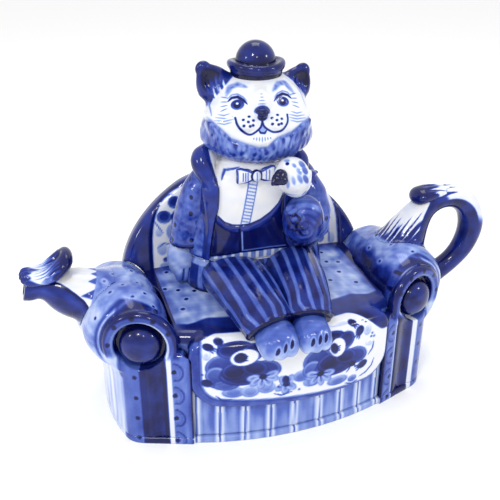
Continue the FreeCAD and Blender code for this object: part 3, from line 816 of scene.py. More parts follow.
def head_outer(p):
    u, w, f = face(p)
    q = np.stack([u, -f, w], axis=1).astype(np.float32)
    d = smin(ball(q, (0, 0, 5.5), (27.6, 25.6, 23.9)), ball(q, (0.2, 0.5, -5.0), (30.4, 25.5, 15.0)),
             7.0)
    for path, side in EARS:
        ear = chain(p, path, stretch=(1, 1.55, 1), blend=3.0)
        a, b = np.array(path[1][:3]), np.array(path[2][:3])
        mid = 0.45 * a + 0.55 * b + np.array([side * -0.6, -7.6, -1.6])
        ear = smax(ear, -ball(p, mid, (5.6, 5.6, 8.6), about_y=side * 34), 1.6)
        d = smin(d, ear, 3.0)
    for side, w0 in ((-6.8, 7.2), (7.3, 7.6)):
        d = smin(d, ball(q, (side, -20.6, w0), (7.0, 7.0, 5.9)), 1.6)
    d = smin(d, ball(q, (0.4, -20.2, -0.6), (7.0, 6.2, 5.0)), 3.0)
    d = smin(d, ball(q, (0.2, -20.0, 17.0), (4.2, 5.6, 5.6)), 4.0)
    for side, w0 in ((-17.0, 5.0), (17.0, 5.4)):
        d = smin(d, ball(q, (side, -13.0, w0), (10.0, 9.5, 8.5)), 5.0)
    for side, w0 in ((-11.6, 15.2), (11.4, 16.0)):
        reach = np.sqrt((u - side) ** 2 + ((w - w0) * 1.25) ** 2)
        d = d + 1.1 * np.exp(-((reach / 5.6) ** 2)) * ramp(f, 6.0, 12.0)
        d = smin(d, ball(q, (side, 5.0 - depth(side, w0), w0 - 0.6), (4.4, 5.2, 3.4)), 0.8)
    d = smin(d, ball(q, (0.2, -25.6, 12.6), (3.7, 2.9, 2.5)), 0.8)
    edge = ruff_side(p)
    front = ramp(f, -6.0, 6.0)
    ridge, groove = np.exp(-(((edge + 1.0) / 1.3) ** 2)), np.exp(-(((edge - 1.8) / 2.2) ** 2))
    d = d + front * (0.9 * ridge - 0.5 * groove)
    fur = np.cos(1.05 * u * 2.0 + 0.9 * np.sin(0.5 * w)) * np.cos(0.42 * w)
    return d + 0.16 * fur * ramp(-edge, 1.0, 4.0)


def head_field(p):
    d = head_outer(p)
    q = p - FACE_AT.astype(np.float32)
    inner = ball(q, (0, 0, 2.0), (25.0, 22.0, 18.5))
    neck = np.maximum(np.sqrt((q[:, 0] / 1.15) ** 2 + q[:, 1] ** 2) - 11.5, q[:, 2] - 0.0)
    return np.maximum(d, -smin(inner, neck, 2.0))


HAT_AT = np.array([-4.6, 0.0])


def hat_field(p):
    x, y, z = p[:, 0] - HAT_AT[0], p[:, 1] - HAT_AT[1], p[:, 2]
    r = np.sqrt(x * x + y * y)
    band = smax(r - 13.2 - 0.1 * (z - 188.0), np.abs(z - 190.9) - 3.4, 1.0)
    lift = 1.5 * (np.abs(x) / 15.0) ** 2.5
    brim = smax(np.sqrt(((r - 6.0) * 0.38) ** 2 + (z - 194.0 - lift) ** 2) - 3.3, -(z - 190.5), 0.5)
    roll = np.sqrt((r - 13.1) ** 2 + (z - 195.4 - lift) ** 2) - 2.1
    crown = ball(p, (HAT_AT[0] - 0.3, HAT_AT[1], 197.6), (10.5, 10.3, 10.6))
    crown = smax(crown, 195.0 - z, 1.0)
    d = smin(smin(band, brim, 0.8), roll, 0.8)
    return smin(d, crown, 0.7)


# ---- brush helpers ------------------------------------------------------------------------------
def over(base, cover, tone):
    """Lays a tone over the base where cover is 1."""
    return base * (1.0 - cover) + tone * cover


def line2(q, points):
    """Distance in the plane to a broken line, and how far along it the nearest place is (0 to 1)."""
    best = np.full(len(q), 99.0)
    place = np.zeros(len(q))
    count = len(points) - 1
    for i, (a, b) in enumerate(zip(points, points[1:])):
        a, b = np.array(a, dtype=float), np.array(b, dtype=float)
        t = np.clip((q - a) @ (b - a) / ((b - a) @ (b - a)), 0, 1)
        d = np.linalg.norm(q - a - t[:, None] * (b - a), axis=1)
        place = np.where(d < best, (i + t) / count, place)
        best = np.minimum(best, d)
    return best, place


def stroke(base, q, points, width, tone, soft=0.3, taper=True):
    """One brush line; it thins out at both ends."""
    d, t = line2(q, points)
    half = 0.5 * width * (np.sqrt(np.clip(4.0 * t * (1.0 - t), 0.05, 1.0)) if taper else 1.0)
    return over(base, ramp(half - d, -soft, soft), tone)


def blob(base, q, centre, half, tone, turn=0.0, soft=0.4, shade=0.0, rim=0.0):
    """One pressed brush mark: an oval, darker to one end by shade, paler along its rim."""
    c, s = math.cos(math.radians(turn)), math.sin(math.radians(turn))
    u = (q[:, 0] - centre[0]) * c + (q[:, 1] - centre[1]) * s
    v = (q[:, 1] - centre[1]) * c - (q[:, 0] - centre[0]) * s
    k = np.sqrt((u / half[0]) ** 2 + (v / half[1]) ** 2)
    d = (k - 1.0) * min(half)
    value = tone + shade * np.clip(v / half[1], -1, 1) - rim * np.exp(-((d + 0.9) ** 2) / 0.35)
    return over(base, ramp(-d, -soft, soft), value)


def mottle(p, size, seed):
    """Smooth brushy variation between about -1 and 1, features of about this size in mm."""
    rng = np.random.default_rng(seed)
    total = np.zeros(len(p))
    for octave in (1.0, 2.1):
        for _ in range(5):
            k = rng.normal(size=3)
            k = k / np.linalg.norm(k) * (2.0 * math.pi / size) * octave * rng.uniform(0.7, 1.3)
            phase = rng.uniform(0, 6.28) + 1.3 * np.sin(p[:, 2] * 0.9 / size * 3.0)
            total += np.sin(p @ k + phase) / octave
    return np.clip(total / 4.0, -1.0, 1.0)


def scatter(u, v, spacing, seed):
    """Distance to the nearest of many loosely spaced marks."""
    best = np.full(len(u), 99.0)
    gu, gv = np.floor(u / spacing), np.floor(v / spacing)
    for du in (-1, 0, 1):
        for dv in (-1, 0, 1):
            cu, cv = gu + du, gv + dv
            h1 = np.modf(np.abs(np.sin(cu * 127.1 + cv * 311.7 + seed) * 43758.5453))[0]
            h2 = np.modf(np.abs(np.sin(cu * 269.5 + cv * 183.3 + seed) * 24634.6345))[0]
            mu = (cu + 0.25 + 0.5 * h1 + 0.25 * (cv % 2)) * spacing
            mv = (cv + 0.25 + 0.5 * h2) * spacing
            best = np.minimum(best, np.hypot(u - mu, (v - mv) * 0.8))
    return best


def dotted(base, d, radius=1.1, tone=1.2, halo=0.2):
    """Dark dots, each in a paler halo."""
    base = over(base, 0.5 * ramp(radius + 1.3 - d, -0.9, 0.9), halo)
    return over(base, ramp(radius - d, -0.35, 0.35), tone)


def nearest(p, places):
    best = np.full(len(p), 99.0)
    for place in places:
        best = np.minimum(best, np.linalg.norm(p - np.array(place, dtype=np.float32), axis=1))
    return best


# ---- painting: sofa -----------------------------------------------------------------------------
PLEATS = np.array([-70.5, -56.3, -43.0, -28.8, -14.2, -0.2, 14.4, 28.2, 41.0, 54.8, 69.0])
SEAT_DOTS = [(-58.4, 4.6), (-51.3, 1.0), (-42.6, -2.6), (-53.1, -18.5), (47.1, -6.2), (37.8, -14.3),
             (52.1, -19.7), (-47.5, 14.0), (-53.5, 23.0), (44.5, 7.0), (51.5, 5.0), (46.0, 19.0),
             (-49.0, -9.5), (36.5, 26.0)]


def pleated(s, z):
    """The pleated skirt: a soft wash on each pleat, white gaps and a thin line in every fold."""
    lines = PLEATS[None, :] + 0.02 * (40.0 - z)[:, None] * np.sign(PLEATS)[None, :]
    d = np.abs(s[:, None] - lines).min(1)
    place = np.stack([s, 0.35 * z, 0.0 * z], axis=1)
    brush = mottle(place, 9.0, 41)
    tone = (0.40 + 0.14 * brush) * ramp(d, 1.0, 3.8) * (0.72 + 0.38 * ramp(z, 2.0, 24.0)) + 0.05
    tone = tone + 0.10 * np.exp(-(((d - 3.4) / 0.9) ** 2))
    return over(tone, ramp(0.5 - d, -0.35, 0.35), 0.7)


def blossom(base, q, at, turns, reach=5.2):
    """Light petals spread from a dark heart."""
    for turn in turns:
        c, s = math.cos(math.radians(turn)), math.sin(math.radians(turn))
        tip = (at[0] + reach * c, at[1] + 0.8 * reach * s)
        base = blob(base, q, tip, (4.0, 2.3), 0.5, turn=turn, rim=0.22, shade=0.1)
        base = stroke(base, q, [at, (at[0] + 0.8 * reach * c, at[1] + 0.64 * reach * s)], 1.0, 0.86)
    return blob(base, q, at, (1.9, 1.5), 1.2)


def rose(base, q, at, eye, flip=1.0):
    """A painted rose with a white eye: dark overlapping petals, a feathered bud and a dark heart."""
    x, y = at
    put = lambda u, v: (x + flip * u, y + v)
    for (u, v), half, tone, turn, shade in (
        ((-13.0, -3.0), (8.4, 7.4), 0.80, 20, -0.16),
        ((-15.5, -8.5), (6.0, 5.6), 0.66, -15, -0.14),
        ((-5.5, 8.0), (9.8, 6.0), 0.95, 8, 0.10),
        ((4.5, 5.5), (5.5, 6.0), 0.90, -20, 0.08),
        ((12.0, -6.5), (7.6, 5.4), 0.82, -18, -0.10),
        ((-1.0, -8.8), (13.2, 6.8), 0.86, 2, -0.16),
        ((-5.5, -6.0), (7.6, 5.4), 1.0, 12, -0.16),
        ((5.0, -5.2), (7.4, 4.8), 0.98, -14, -0.12),
    ):
        base = blob(base, q, put(u, v), half, tone, turn=flip * turn, shade=shade, rim=0.22)
    base = blob(base, q, put(-0.5, 2.2), eye, 0.0, turn=flip * 10)
    base = blob(base, q, put(-2.6, 2.0), (0.46 * eye[0], 0.6 * eye[1]), 1.0, turn=flip * 20, shade=0.1)
    for k in (-1, 0, 1):
        tip = put(0.9 + 0.35 * abs(k), 1.3 + 1.5 * k)
        base = stroke(base, q, [put(-3.0, 1.6 + 0.8 * k), tip], 1.0, 1.0, soft=0.25)
    base = blob(base, q, put(9.8, -11.8), (2.2, 1.7), 1.2)
    for du, dv in ((-7.0, -3.2), (-3.5, -5.0), (5.0, -3.8), (-6.5, 1.5)):
        bend = put(9.5 + 0.5 * du, -11.5 + 0.7 * dv)
        base = stroke(base, q, [put(9.5, -11.5), bend, put(9.5 + du, -11.5 + dv)], 0.7, 0.98)
    return base


def feather_leaf(base, q, at, size, turn, tone=0.98):
    """A leaf pressed in dark paint that ends in a few light bristle strokes."""
    c, s = math.cos(math.radians(turn)), math.sin(math.radians(turn))
    base = blob(base, q, at, (size, 0.72 * size), tone, turn=turn, shade=0.1)
    for k in (-1, 0, 1):
        a = (at[0] + c * 0.75 * size - s * 0.34 * size * k,
             at[1] + s * 0.75 * size + c * 0.34 * size * k)
        b = (at[0] + c * 1.5 * size - s * 0.5 * size * k, at[1] + s * 1.5 * size + c * 0.5 * size * k)
        base = stroke(base, q, [a, b], 0.26 * size, 0.8)
    return base


def bouquet(q):
    """The two roses of the seat cushion with their leaves, light petals and tendrils."""
    tone = 0.02 + 0.0 * q[:, 0]
    for at, half, value in (((-36, 35.2), (6.4, 3.4), 0.50), ((-27, 35.0), (5.2, 3.8), 0.42),
                            ((-18, 36.2), (5.0, 3.6), 0.40), ((-40, 40.5), (7.5, 3.6), 0.62),
                            ((8, 35.2), (5.4, 3.6), 0.45), ((1.5, 40), (4.8, 3.6), 0.5),
                            ((24, 31.0), (6.6, 3.0), 0.50), ((42.5, 59.5), (2.8, 4.2), 0.22),
                            ((44.5, 50.0), (3.0, 2.2), 0.16), ((-50.0, 60), (2.4, 3.4), 0.20),
                            ((-48.5, 53.0), (2.0, 2.6), 0.2), ((27, 69.5), (9.0, 2.0), 0.16),
                            ((-7, 33.0), (2.6, 2.4), 0.52), ((34, 29.2), (3.0, 2.2), 0.55)):
        tone = blob(tone, q, at, half, value, shade=-0.16, rim=0.12)
    tone = rose(tone, q, (-29.5, 55.0), (7.6, 5.2))
    tone = rose(tone, q, (23.5, 51.0), (4.8, 6.2), flip=1.0)
    tone = blossom(tone, q, (-20.1, 43.6), (-175, -140, -100, -60, -20, 15))
    tone = blossom(tone, q, (13.0, 38.6), (-170, -130, -85, -45, -5, 170))
    tone = blossom(tone, q, (-7.0, 36.5), (-150, -100, -40, 60, 120), reach=3.2)
    for at, size, turn in (((37.2, 60.0), 3.6, -115), ((33.5, 67.2), 3.3, -60),
                           ((40.4, 36.6), 3.4, 200), ((-49.0, 65.5), 3.4, -40),
                           ((-50.2, 42.0), 3.2, -20), ((-43.5, 69.5), 3.4, -70),
                           ((-7.5, 39.5), 2.6, -80)):
        tone = feather_leaf(tone, q, at, size, turn)
    for points in ([(38.5, 28.5), (43.5, 30.0), (47.5, 33.5), (49.0, 38.0)],
                   [(-45.5, 33.5), (-42.0, 30.4), (-37.0, 30.6)],
                   [(-14, 31.5), (-9.5, 29.6), (-3.5, 31.0)],
                   [(29.0, 27.5), (33.5, 25.6), (38.0, 26.6)],
                   [(44.0, 41.5), (47.0, 45.0), (47.5, 49.5)]):
        tone = stroke(tone, q, points, 0.9, 0.75)
    for at in ((46.0, 55.5), (47.5, 53.0), (45.4, 53.4), (40.5, 66.5), (42.2, 65.0), (-52.5, 47.5),
               (0.5, 31.4), (-11.5, 35.5)):
        tone = blob(tone, q, at, (0.75, 0.65), 0.7)
    return tone


def paint_seat(p, n):
    s, rho = bow(p)
    x, y, z = p[:, 0], p[:, 1], p[:, 2]
    inward = BOW_R - rho
    up = inward + (z - 68.0)
    brush = mottle(p, 16.0, 1)
    top = 0.33 + 0.14 * brush + 0.08 * mottle(p, 6.0, 2)
    top = top + 0.2 * ramp(np.abs(x), 54.0, 59.5) + 0.45 * ramp(y, 19.0, 30.0)
    spots = np.array([(dx, dy, 0.0) for dx, dy in SEAT_DOTS])
    spots[:, 2] = seat_top(spots)
    top = dotted(top, nearest(p, spots))
    top = over(top, ramp(np.abs(x), 59.6, 60.4), 1.05)
    inside = -cushion_edge(s, z)
    border = np.interp(s, [-57, -45, 0, 36, 57], [7.0, 6.2, 4.6, 2.2, 1.8])
    front = 0.66 + 0.10 * mottle(p * np.array([1, 1, 0.3]), 7.0, 3)
    art = bouquet(np.stack([s, 68.0 + np.minimum(up, 9.5) * 1.0], axis=1))
    front = over(front, ramp(inside - border, -0.4, 0.4), art)
    front = over(front, ramp(1.0 - np.abs(inside - border), -0.3, 0.3) * 0.5, 0.85)
    front = over(front, ramp(1.2 - inside, -0.3, 0.5), 0.98)
    low = 8.6 - 21.0 * ramp(s, 33.0, 55.0) - 7.0 * ramp(-s, 44.0, 56.0)
    high = 24.0 - 6.0 * ramp(np.abs(s), 48.0, 62.0)
    band = ramp(up - low, -0.8, 0.8) * ramp(high - up, -1.2, 1.2)
    deep = 0.86 + 0.10 * mottle(p, 14.0, 4) + 0.10 * ramp(up - low, 12.0, 2.0)
    tone = over(top, ramp(low + 1.0 - up, -1.0, 1.0), front)
    tone = over(tone, band, deep)
    skirt = pleated(s, z)
    tone = np.where((inside < -0.1) & (up < 2.0), skirt, tone)
    rear = (y > 12.0) & (z < 64.0)
    back = over(pleated(x * 1.06, z), ramp(z, 45.5, 46.5), 0.62)
    back = over(back, ramp(z, 50.0, 51.0), 0.25 + 0.1 * brush)
    back = dotted(back, np.where(z > 51.0, scatter(x, z, 11.0, 5.0), 9.0))
    tone = np.where(rear, back, tone)
    inside = (inward > 4.4) & (y < 16.5) & (z < seat_top(p) - 1.6) & (np.abs(x) < 46.0)
    return np.where(inside, 0.0, tone)


def paint_base(p, n):
    s = bow(p)[0]
    side = np.abs(p[:, 0]) > SEAT_HALF + 0.3
    q = p.copy()
    q[:, 0] = -np.abs(q[:, 0])
    skirt = np.where(side, arm_front_paint(q, p[:, 0] > 0), pleated(s, p[:, 2]))
    skirt = np.where(p[:, 1] > 12.0, np.where(side, 0.2, pleated(p[:, 0] * 1.06, p[:, 2])), skirt)
    return skirt * ramp(n[:, 2], -0.8, -0.4)


def arm_front_paint(q, right):
    """Bands of the front panels, for a point q on the left arm; right: painted for the right arm."""
    a, z = panel_along(q), q[:, 2]
    right = np.asarray(right)
    a0 = np.where(right, 9.0, 10.8)          # inner band's edge
    f0, f1 = np.where(right, 10.4, 14.4), np.where(right, 23.6, 28.2)
    b0, b1 = np.where(right, 27.4, 28.2), np.where(right, 36.0, 38.6)
    dots_in, dots_out = np.where(right, 6.2, 9.4), np.where(right, 30.6, 30.6)
    wash = mottle(q * np.array([1, 1, 0.25]), 8.0, 6)
    tone = 0.16 + 0.10 * wash
    inner = 0.52 + 0.08 * wash + 0.16 * ramp(a, 3.4, 1.0)
    tone = over(tone, ramp(a0 - a, -0.4, 0.4), inner)
    tone = over(tone, ramp(a - a0, -0.4, 0.4) * ramp(f0 - a, -0.4, 0.4), 0.03)
    step = 15.2
    near = (z + 4.5) % step - step / 2.0
    d = np.hypot((a - dots_in + 0.2) * 1.0, near * 0.85)
    arc = np.abs(d - 4.6)
    tone = over(tone, ramp(0.55 - arc, -0.35, 0.35) * ramp(dots_in + 0.4 - a, -0.4, 0.4), 0.78)
    arc2 = np.abs(d - 3.2)
    tone = over(tone, 0.6 * ramp(0.4 - arc2, -0.35, 0.35) * ramp(dots_in + 0.4 - a, -0.4, 0.4), 0.66)
    tone = over(tone, ramp(a - f0, -0.5, 0.5) * ramp(f1 - a, -0.5, 0.5), 0.94 + 0.10 * wash)
    tone = over(tone, ramp(1.2 - np.abs(a - f0 - 0.4), -0.4, 0.4), 1.1)
    tone = over(tone, ramp(a - f1, -0.4, 0.4) * ramp(b0 - a, -0.4, 0.4), 0.04)
    tone = over(tone, ramp(a - b0, -0.4, 0.4) * ramp(b1 - a, -0.5, 0.5), 0.60 + 0.08 * wash)
    tone = over(tone, ramp(0.9 - np.abs(a - b1), -0.5, 0.5) * 0.6, 0.8)
    tone = over(tone, ramp(1.25 - np.hypot(a - dots_in, near), -0.35, 0.35), 1.2)
    near2 = (z + 2.0) % 13.4 - 6.7
    tone = over(tone, ramp(1.15 - np.hypot(a - dots_out, near2), -0.35, 0.35), 1.2)
    return over(tone, ramp(1.0 - a, -0.3, 0.5), 1.08)


ARM_DOTS = [(-87.5, -1.6, 88.3), (-93.2, -8.4, 88.1), (-84.3, -13.5, 87.4), (-75.5, -9.1, 84.9),
            (-92.1, -18.2, 86.3), (-80.8, -25.2, 85.6), (-73.5, -20.9, 83.9), (-102.1, -27.0, 76.7),
            (-70.6, -29.9, 80.2), (-76.4, 4.9, 85.1), (-105.5, -14.0, 64.0), (-107.5, 2.0, 56.0),
            (-84.5, 16.0, 82.5), (-97.0, 14.0, 76.5), (-105.0, 14.0, 62.0), (-95.5, 26.0, 62.0),
            (-74.0, 24.0, 74.0), (-88.0, 30.0, 70.0), (-99.0, -30.0, 50.0)]
RIGHT_ARM_DOTS = [(-76.4, 4.9, 85.1), (-68.8, -0.1, 79.8), (-77.8, -11.1, 86.0), (-67.2, -17.5, 79.2),
                  (-78.3, -30.2, 83.8), (-85.7, -24.2, 86.2), (-90.0, -6.0, 85.5), (-98.0, -20.0, 80.0),
                  (-106.0, -8.0, 66.0), (-87.0, 14.0, 82.5), (-99.0, 12.0, 75.0), (-106.5, 8.0, 58.0),
                  (-95.5, 26.0, 62.0), (-74.0, 24.0, 74.0), (-86.0, 30.0, 71.0), (-101.0, -28.0, 62.0)]


def paint_arm(right):
    def paint(p, n):
        flip = -1.0 if right else 1.0
        q = p * np.array([flip, 1, 1], dtype=np.float32)
        m = n * np.array([flip, 1, 1], dtype=np.float32)
        x, y, z = q[:, 0], q[:, 1], q[:, 2]
        wash = mottle(q, 17.0, 7 + right)
        roll = 0.42 + 0.17 * wash + 0.08 * mottle(q, 6.0, 9) - 0.10 * ramp(-x, 94.0, 106.0)
        roll = roll + (0.56 if right else 0.45) * ramp(x, -72.0, -63.0) * ramp(q[:, 1], 36.0, 10.0)
        roll = roll + 0.35 * ramp(x, -63.5, -60.0)
        roll = dotted(roll, nearest(q, RIGHT_ARM_DOTS if right else ARM_DOTS), 1.15)
        side = 0.20 + 0.16 * mottle(q * np.array([1.0, 1.0, 0.12]), 7.0, 11)
        roll = over(roll, ramp(-z, -58.0, -48.0), side)
        rear = ramp(y, 34.0, 40.0)
        roll = over(roll, rear * ramp(z, 50.0, 56.0), 0.30 + 0.1 * wash)
        d = q - SCROLL_F
        facing = d @ OUT_F
        r = np.sqrt(np.maximum((d * d).sum(1) - facing**2, 0.0))
        across = panel_along(q) - 26.7
        inner_side = ramp(-across, -6.0, 10.0)
        ring = over(0.97 + 0.06 * wash, ramp(18.2 - r, -0.5, 0.5), 0.66 + 0.05 * wash)
        ring = over(ring, ramp(15.6 - r, -0.4, 0.4), 0.10 + 0.34 * (1 - inner_side))
        ring = over(ring, ramp(14.0 - r, -0.4, 0.3), 1.1)
        angle = np.degrees(np.arctan2(z - SCROLL[2], across))
        for at, rr in ((44.0, 17.3), (80.0, 17.8), (116.0, 17.6), (150.0, 17.6), (4.0, 17.0),
                       (-28.0, 17.2)):
            a, b = rr * math.cos(math.radians(at)), rr * math.sin(math.radians(at))
            spotted = np.hypot(across - a, z - SCROLL[2] - b)
            ring = over(ring, ramp(1.2 - spotted, -0.35, 0.35), 1.2)
        fade = ramp(24.0 + 1.4 * ramp(angle, 30.0, 120.0) - r, -1.3, 1.3)
        on_front = ramp(m @ OUT_F, -0.6, -0.1) * ramp(facing, -11.5, -9.0)
        tone = over(roll, fade * on_front * ramp(z, 50.0, 56.0), ring)
        panel = arm_front_paint(q, right)
        flat = ramp(arm_front(q), -4.0, -2.4) * ramp(m @ OUT_F, 0.2, 0.5)
        flat_or_ring = np.maximum(flat, on_front * ramp(23.0 - r, -1.0, 1.0))
        low = ramp(-z, -60.0, -54.0) + ramp(z, 54.0, 60.0) * ramp(r - 21.5, -0.5, 1.0)
        low = np.maximum(low,
                         ramp(-z, -(SCROLL[2] - 4.0), -(SCROLL[2] - 8.0)) * ramp(r - 12.4, -0.4, 0.4))
        tone = over(tone, flat_or_ring * np.clip(low, 0, 1) * ramp(r - 12.2, -0.3, 0.4), panel)
        return over(tone, ramp(x, -58.2, -57.4) * ramp(-z, -72.0, -66.0), 1.1)

    return paint


def paint_knob(p, n):
    d = p.copy()
    d[:, 0] = -np.abs(d[:, 0])
    d = d - SCROLL_F
    facing = d @ OUT_F
    r = np.sqrt(np.maximum((d * d).sum(1) - facing**2, 0.0))
    return 0.93 + 0.10 * mottle(p, 9.0, 12) + 0.2 * ramp(r, 9.4, 11.0)


def panel_inside(q):
    """Distance inside the backrest's white panel."""
    u = np.abs(q[:, 0] - 1.5) / 61.5
    v = np.maximum(q[:, 2] + 10.0, 0.0) / 64.5
    return (1.0 - (u**4 + v**4 + 1e-9) ** 0.25) * 55.0


def paint_back(p, n):
    q = unleaned(p)
    flat = q[:, [0, 2]].astype(float)
    wash = mottle(p, 20.0, 13)
    border = 0.90 + 0.09 * wash
    art = 0.02 + 0.0 * q[:, 0]
    for at, half, value in (((-53.5, 14.0), (3.0, 4.0), 0.24), ((-52.5, 3.0), (3.4, 2.4), 0.35),
                            ((-46, 24), (4, 5), 0.35), ((58, 6), (2.6, 4.0), 0.22),
                            ((-54.5, 24.5), (2.2, 2.6), 0.22), ((54, 13), (3, 4), 0.3)):
        art = blob(art, flat, at, half, value, shade=-0.1)
    for at, half, value, turn in (((-43.5, 42.0), (3.9, 3.6), 0.86, 20),
                                  ((-50.6, 33.6), (4.5, 3.9), 0.80, -10),
                                  ((-42.5, 32.0), (3.8, 5.0), 0.95, 0),
                                  ((-40.0, 20.0), (6.5, 7.0), 0.90, 10),
                                  ((-34.0, 44.0), (6.0, 4.2), 0.85, 10),
                                  ((-51.5, 7.0), (2.0, 1.5), 0.85, 0),
                                  ((45.0, 24.0), (6.5, 5.5), 0.9, 0), ((38, 34), (6, 5), 0.85, 0),
                                  ((50.0, 6.5), (3.0, 2.4), 0.7, 0)):
        art = blob(art, flat, at, half, value, turn=turn, shade=0.14, rim=0.2)
    for points in ([(-57.5, 33.0), (-54.5, 28.0), (-52.0, 24.0)],
                   [(-56.0, 15.0), (-52.0, 17.5), (-47.5, 16.0)],
                   [(52.5, 15.0), (56.5, 10.0), (57.0, 3.0)],
                   [(-50.0, 44.5), (-47.0, 46.5), (-43.5, 46.8)]):
        art = stroke(art, flat, points, 0.8, 0.6)
    inside = panel_inside(q)
    tone = over(border, ramp(inside, -0.4, 0.5), art)
    tone = over(tone, ramp(0.6 - np.abs(inside + 0.2), -0.4, 0.4) * 0.6, 1.05)
    rear = q[:, 1] > 10.0
    mirrored_flat = np.stack([-flat[:, 0] * 1.0, flat[:, 1] + 28.0], axis=1)
    back_art = 0.03 + 0.0 * q[:, 0]
    for at, half, value in (((-22, 48), (7, 4), 0.45), ((22, 46), (7, 4), 0.45),
                            ((0, 40), (9, 3.4), 0.4)):
        back_art = blob(back_art, mirrored_flat, at, half, value, shade=-0.15, rim=0.12)
    back_art = rose(back_art, mirrored_flat, (-4.0, 62.0), (7.4, 5.2))
    for at, size, turn in (((-34, 60), 4.0, -150), ((-30, 70), 3.8, 150), ((28, 62), 4.0, -20),
                           ((24, 72), 3.8, 30), ((-42, 50), 3.2, -140), ((40, 50), 3.2, -40)):
        back_art = feather_leaf(back_art, mirrored_flat, at, size, turn)
    edge = arch(q)
    rear_tone = over(0.90 + 0.09 * wash, ramp(-edge - 10.5, -0.5, 0.5), back_art)
    rear_tone = over(rear_tone, ramp(2.0 - q[:, 2], -0.5, 0.5), 0.85)
    return np.where(rear, rear_tone, tone)


# ---- painting: spout and handle -----------------------------------------------------------------
def paint_spout(p, n):
    x, y, z = p[:, 0], p[:, 1], p[:, 2]
    bottom = np.interp(x, [-138, -132, -127, -119.5, -115.9, -112.4, -108.9, -105.5, -101],
                       [96, 91.4, 90.8, 90.4, 89.2, 87.0, 84.1, 80.6, 73.5])
    edge = bottom - z
    deep = 0.92 + 0.08 * mottle(p, 12.0, 14) - 0.10 * np.exp(-(((edge - 5.0) / 3.0) ** 2))
    tone = 0.03 + 0.03 * mottle(p * np.array([0.3, 1, 1]), 5.0, 15)
    root = x - 0.53 * z + 144.4
    theta = np.degrees(np.arctan2(y, z - 76.0))
    for at, width, tall, value in ((-62, 9, 6.5, 0.72), (-34, 8, 4.6, 0.66), (-14, 7, 3.4, 0.6),
                                   (8, 8, 4.4, 0.66), (34, 9, 5.4, 0.7), (62, 9, 5.6, 0.7)):
        wide = width * (1.0 + np.clip(root, -tall, 0.0) / tall)
        tooth = ramp(wide - np.abs(theta - at), -2.0, 2.0) * ramp(root, -tall - 0.5, -tall + 0.8)
        tone = over(tone, tooth, value)
    tone = over(tone, ramp(edge, -0.3, 0.4), deep)
    tone = over(tone, ramp(0.8 - np.abs(edge - 0.4), -0.3, 0.3), 1.12)
    host = paint_arm(False)(p, n)
    return over(tone, ramp(root, -0.3, 0.5), host)


def paint_spout_leaf(p, n):
    x, y, z = p[:, 0], p[:, 1], p[:, 2]
    wob = 0.9 * np.sin(2.4 * y + 0.7) + 0.7 * np.sin(4.3 * y + 2.0)
    tone = 0.03 + 0.92 * ramp(x + 1.6 * wob, -125.5, -117.0)
    tone = over(tone, ramp(np.sin(3.4 * y + 0.35 * x), 0.35, 0.8) * ramp(x, -131.0, -124.0) * 0.75,
                0.62)
    tone = over(tone, ramp(x, -116.5, -114.0), 1.02)
    tone = over(tone, ramp(-x, 134.6, 136.2), 0.95)
    return over(tone, ramp(94.0 - 0.35 * (x + 122.0) - z - 1.2 * np.abs(y) * 0.3, -0.4, 0.6) * 0.85,
                0.95)


LOOP = np.array([119.5, 0.0, 80.0])


def paint_handle(p, n):
    x, y, z = p[:, 0], p[:, 1], p[:, 2]
    away = p - LOOP.astype(np.float32)
    away[:, 1] = 0.0
    away /= np.maximum(np.linalg.norm(away, axis=1, keepdims=True), 1e-3)
    facing = (n * away).sum(1)
    wash = mottle(p, 14.0, 16)
    deep = 0.93 + 0.09 * wash
    comb = np.sin(1.9 * y + 0.4) + 0.6 * np.sin(4.1 * y + 1.0)
    white = 0.03 + 0.04 * wash
    top = ramp(facing, 0.02, 0.2) * ramp(x, 106.0, 110.0) * ramp(z - 0.45 * (150.0 - x), 84.0, 92.0)
    top_tone = over(white, ramp(comb * 3.6 + 118.5 - x, -1.5, 1.5) * 0.9, 0.86)
    tone = over(deep, top, top_tone)
    # Painted highlight: where the loop's lower right side faces outward, it is painted paler, as a rim
    # of light on it
    rim = ramp(facing, 0.75, 0.95) * ramp(z, 95.0, 70.0) * ramp(x, 120.0, 132.0)
    tone = over(tone, 0.45 * rim, 0.55)
    turn_at = np.interp(z, [84, 86, 92, 100, 107], [96.5, 97.2, 97.0, 100.3, 104.4])
    edge = turn_at - x - 0.22 * (np.abs(y) - 9.0)
    trunk = ramp(edge, -0.4, 0.4) * ramp(z, 83.0, 86.0)
    lane = 0.45 * (x - 0.62 * z) - 0.8 * y
    bristle = np.sin(2.3 * lane) + 0.6 * np.sin(3.9 * lane + 1.1)
    height = 94.0 + 3.4 * bristle + 0.35 * (x - 92.0)
    feathers = over(white, ramp(height - z, -1.2, 1.2), 0.9)
    tone = over(tone, trunk, feathers)
    host = paint_arm(True)(p, n)
    at_root = ramp(1.6 - mirrored(arm_outer)(p), -0.5, 0.5)
    return over(tone, at_root * ramp(x, 100.0, 90.0) * ramp(-z, -86.5, -84.5), host)


def paint_handle_leaf(p, n):
    x, y, z = p[:, 0], p[:, 1], p[:, 2]
    comb = np.sin(2.2 * y + 0.5) + 0.6 * np.sin(3.9 * y + 2.1)
    tone = 0.03 + 0.9 * ramp(3.4 * comb + 111.0 - x, -2.0, 2.5)
    tone = over(tone, ramp(103.0 - x, -1.0, 1.5), 0.98)
    return over(tone, ramp(111.6 - 0.12 * (x - 104.0) - z, -0.5, 0.6) * 0.8, 0.92)


# ---- painting: cat ------------------------------------------------------------------------------
def striped(phase, wash):
    """Lengthwise trouser stripes: deep cobalt with narrow light ones."""
    light = ramp(np.cos(phase) + 0.15 * wash, -0.02, 0.75)
    return over(0.93 + 0.09 * wash, light * 0.9, 0.52 + 0.12 * wash)


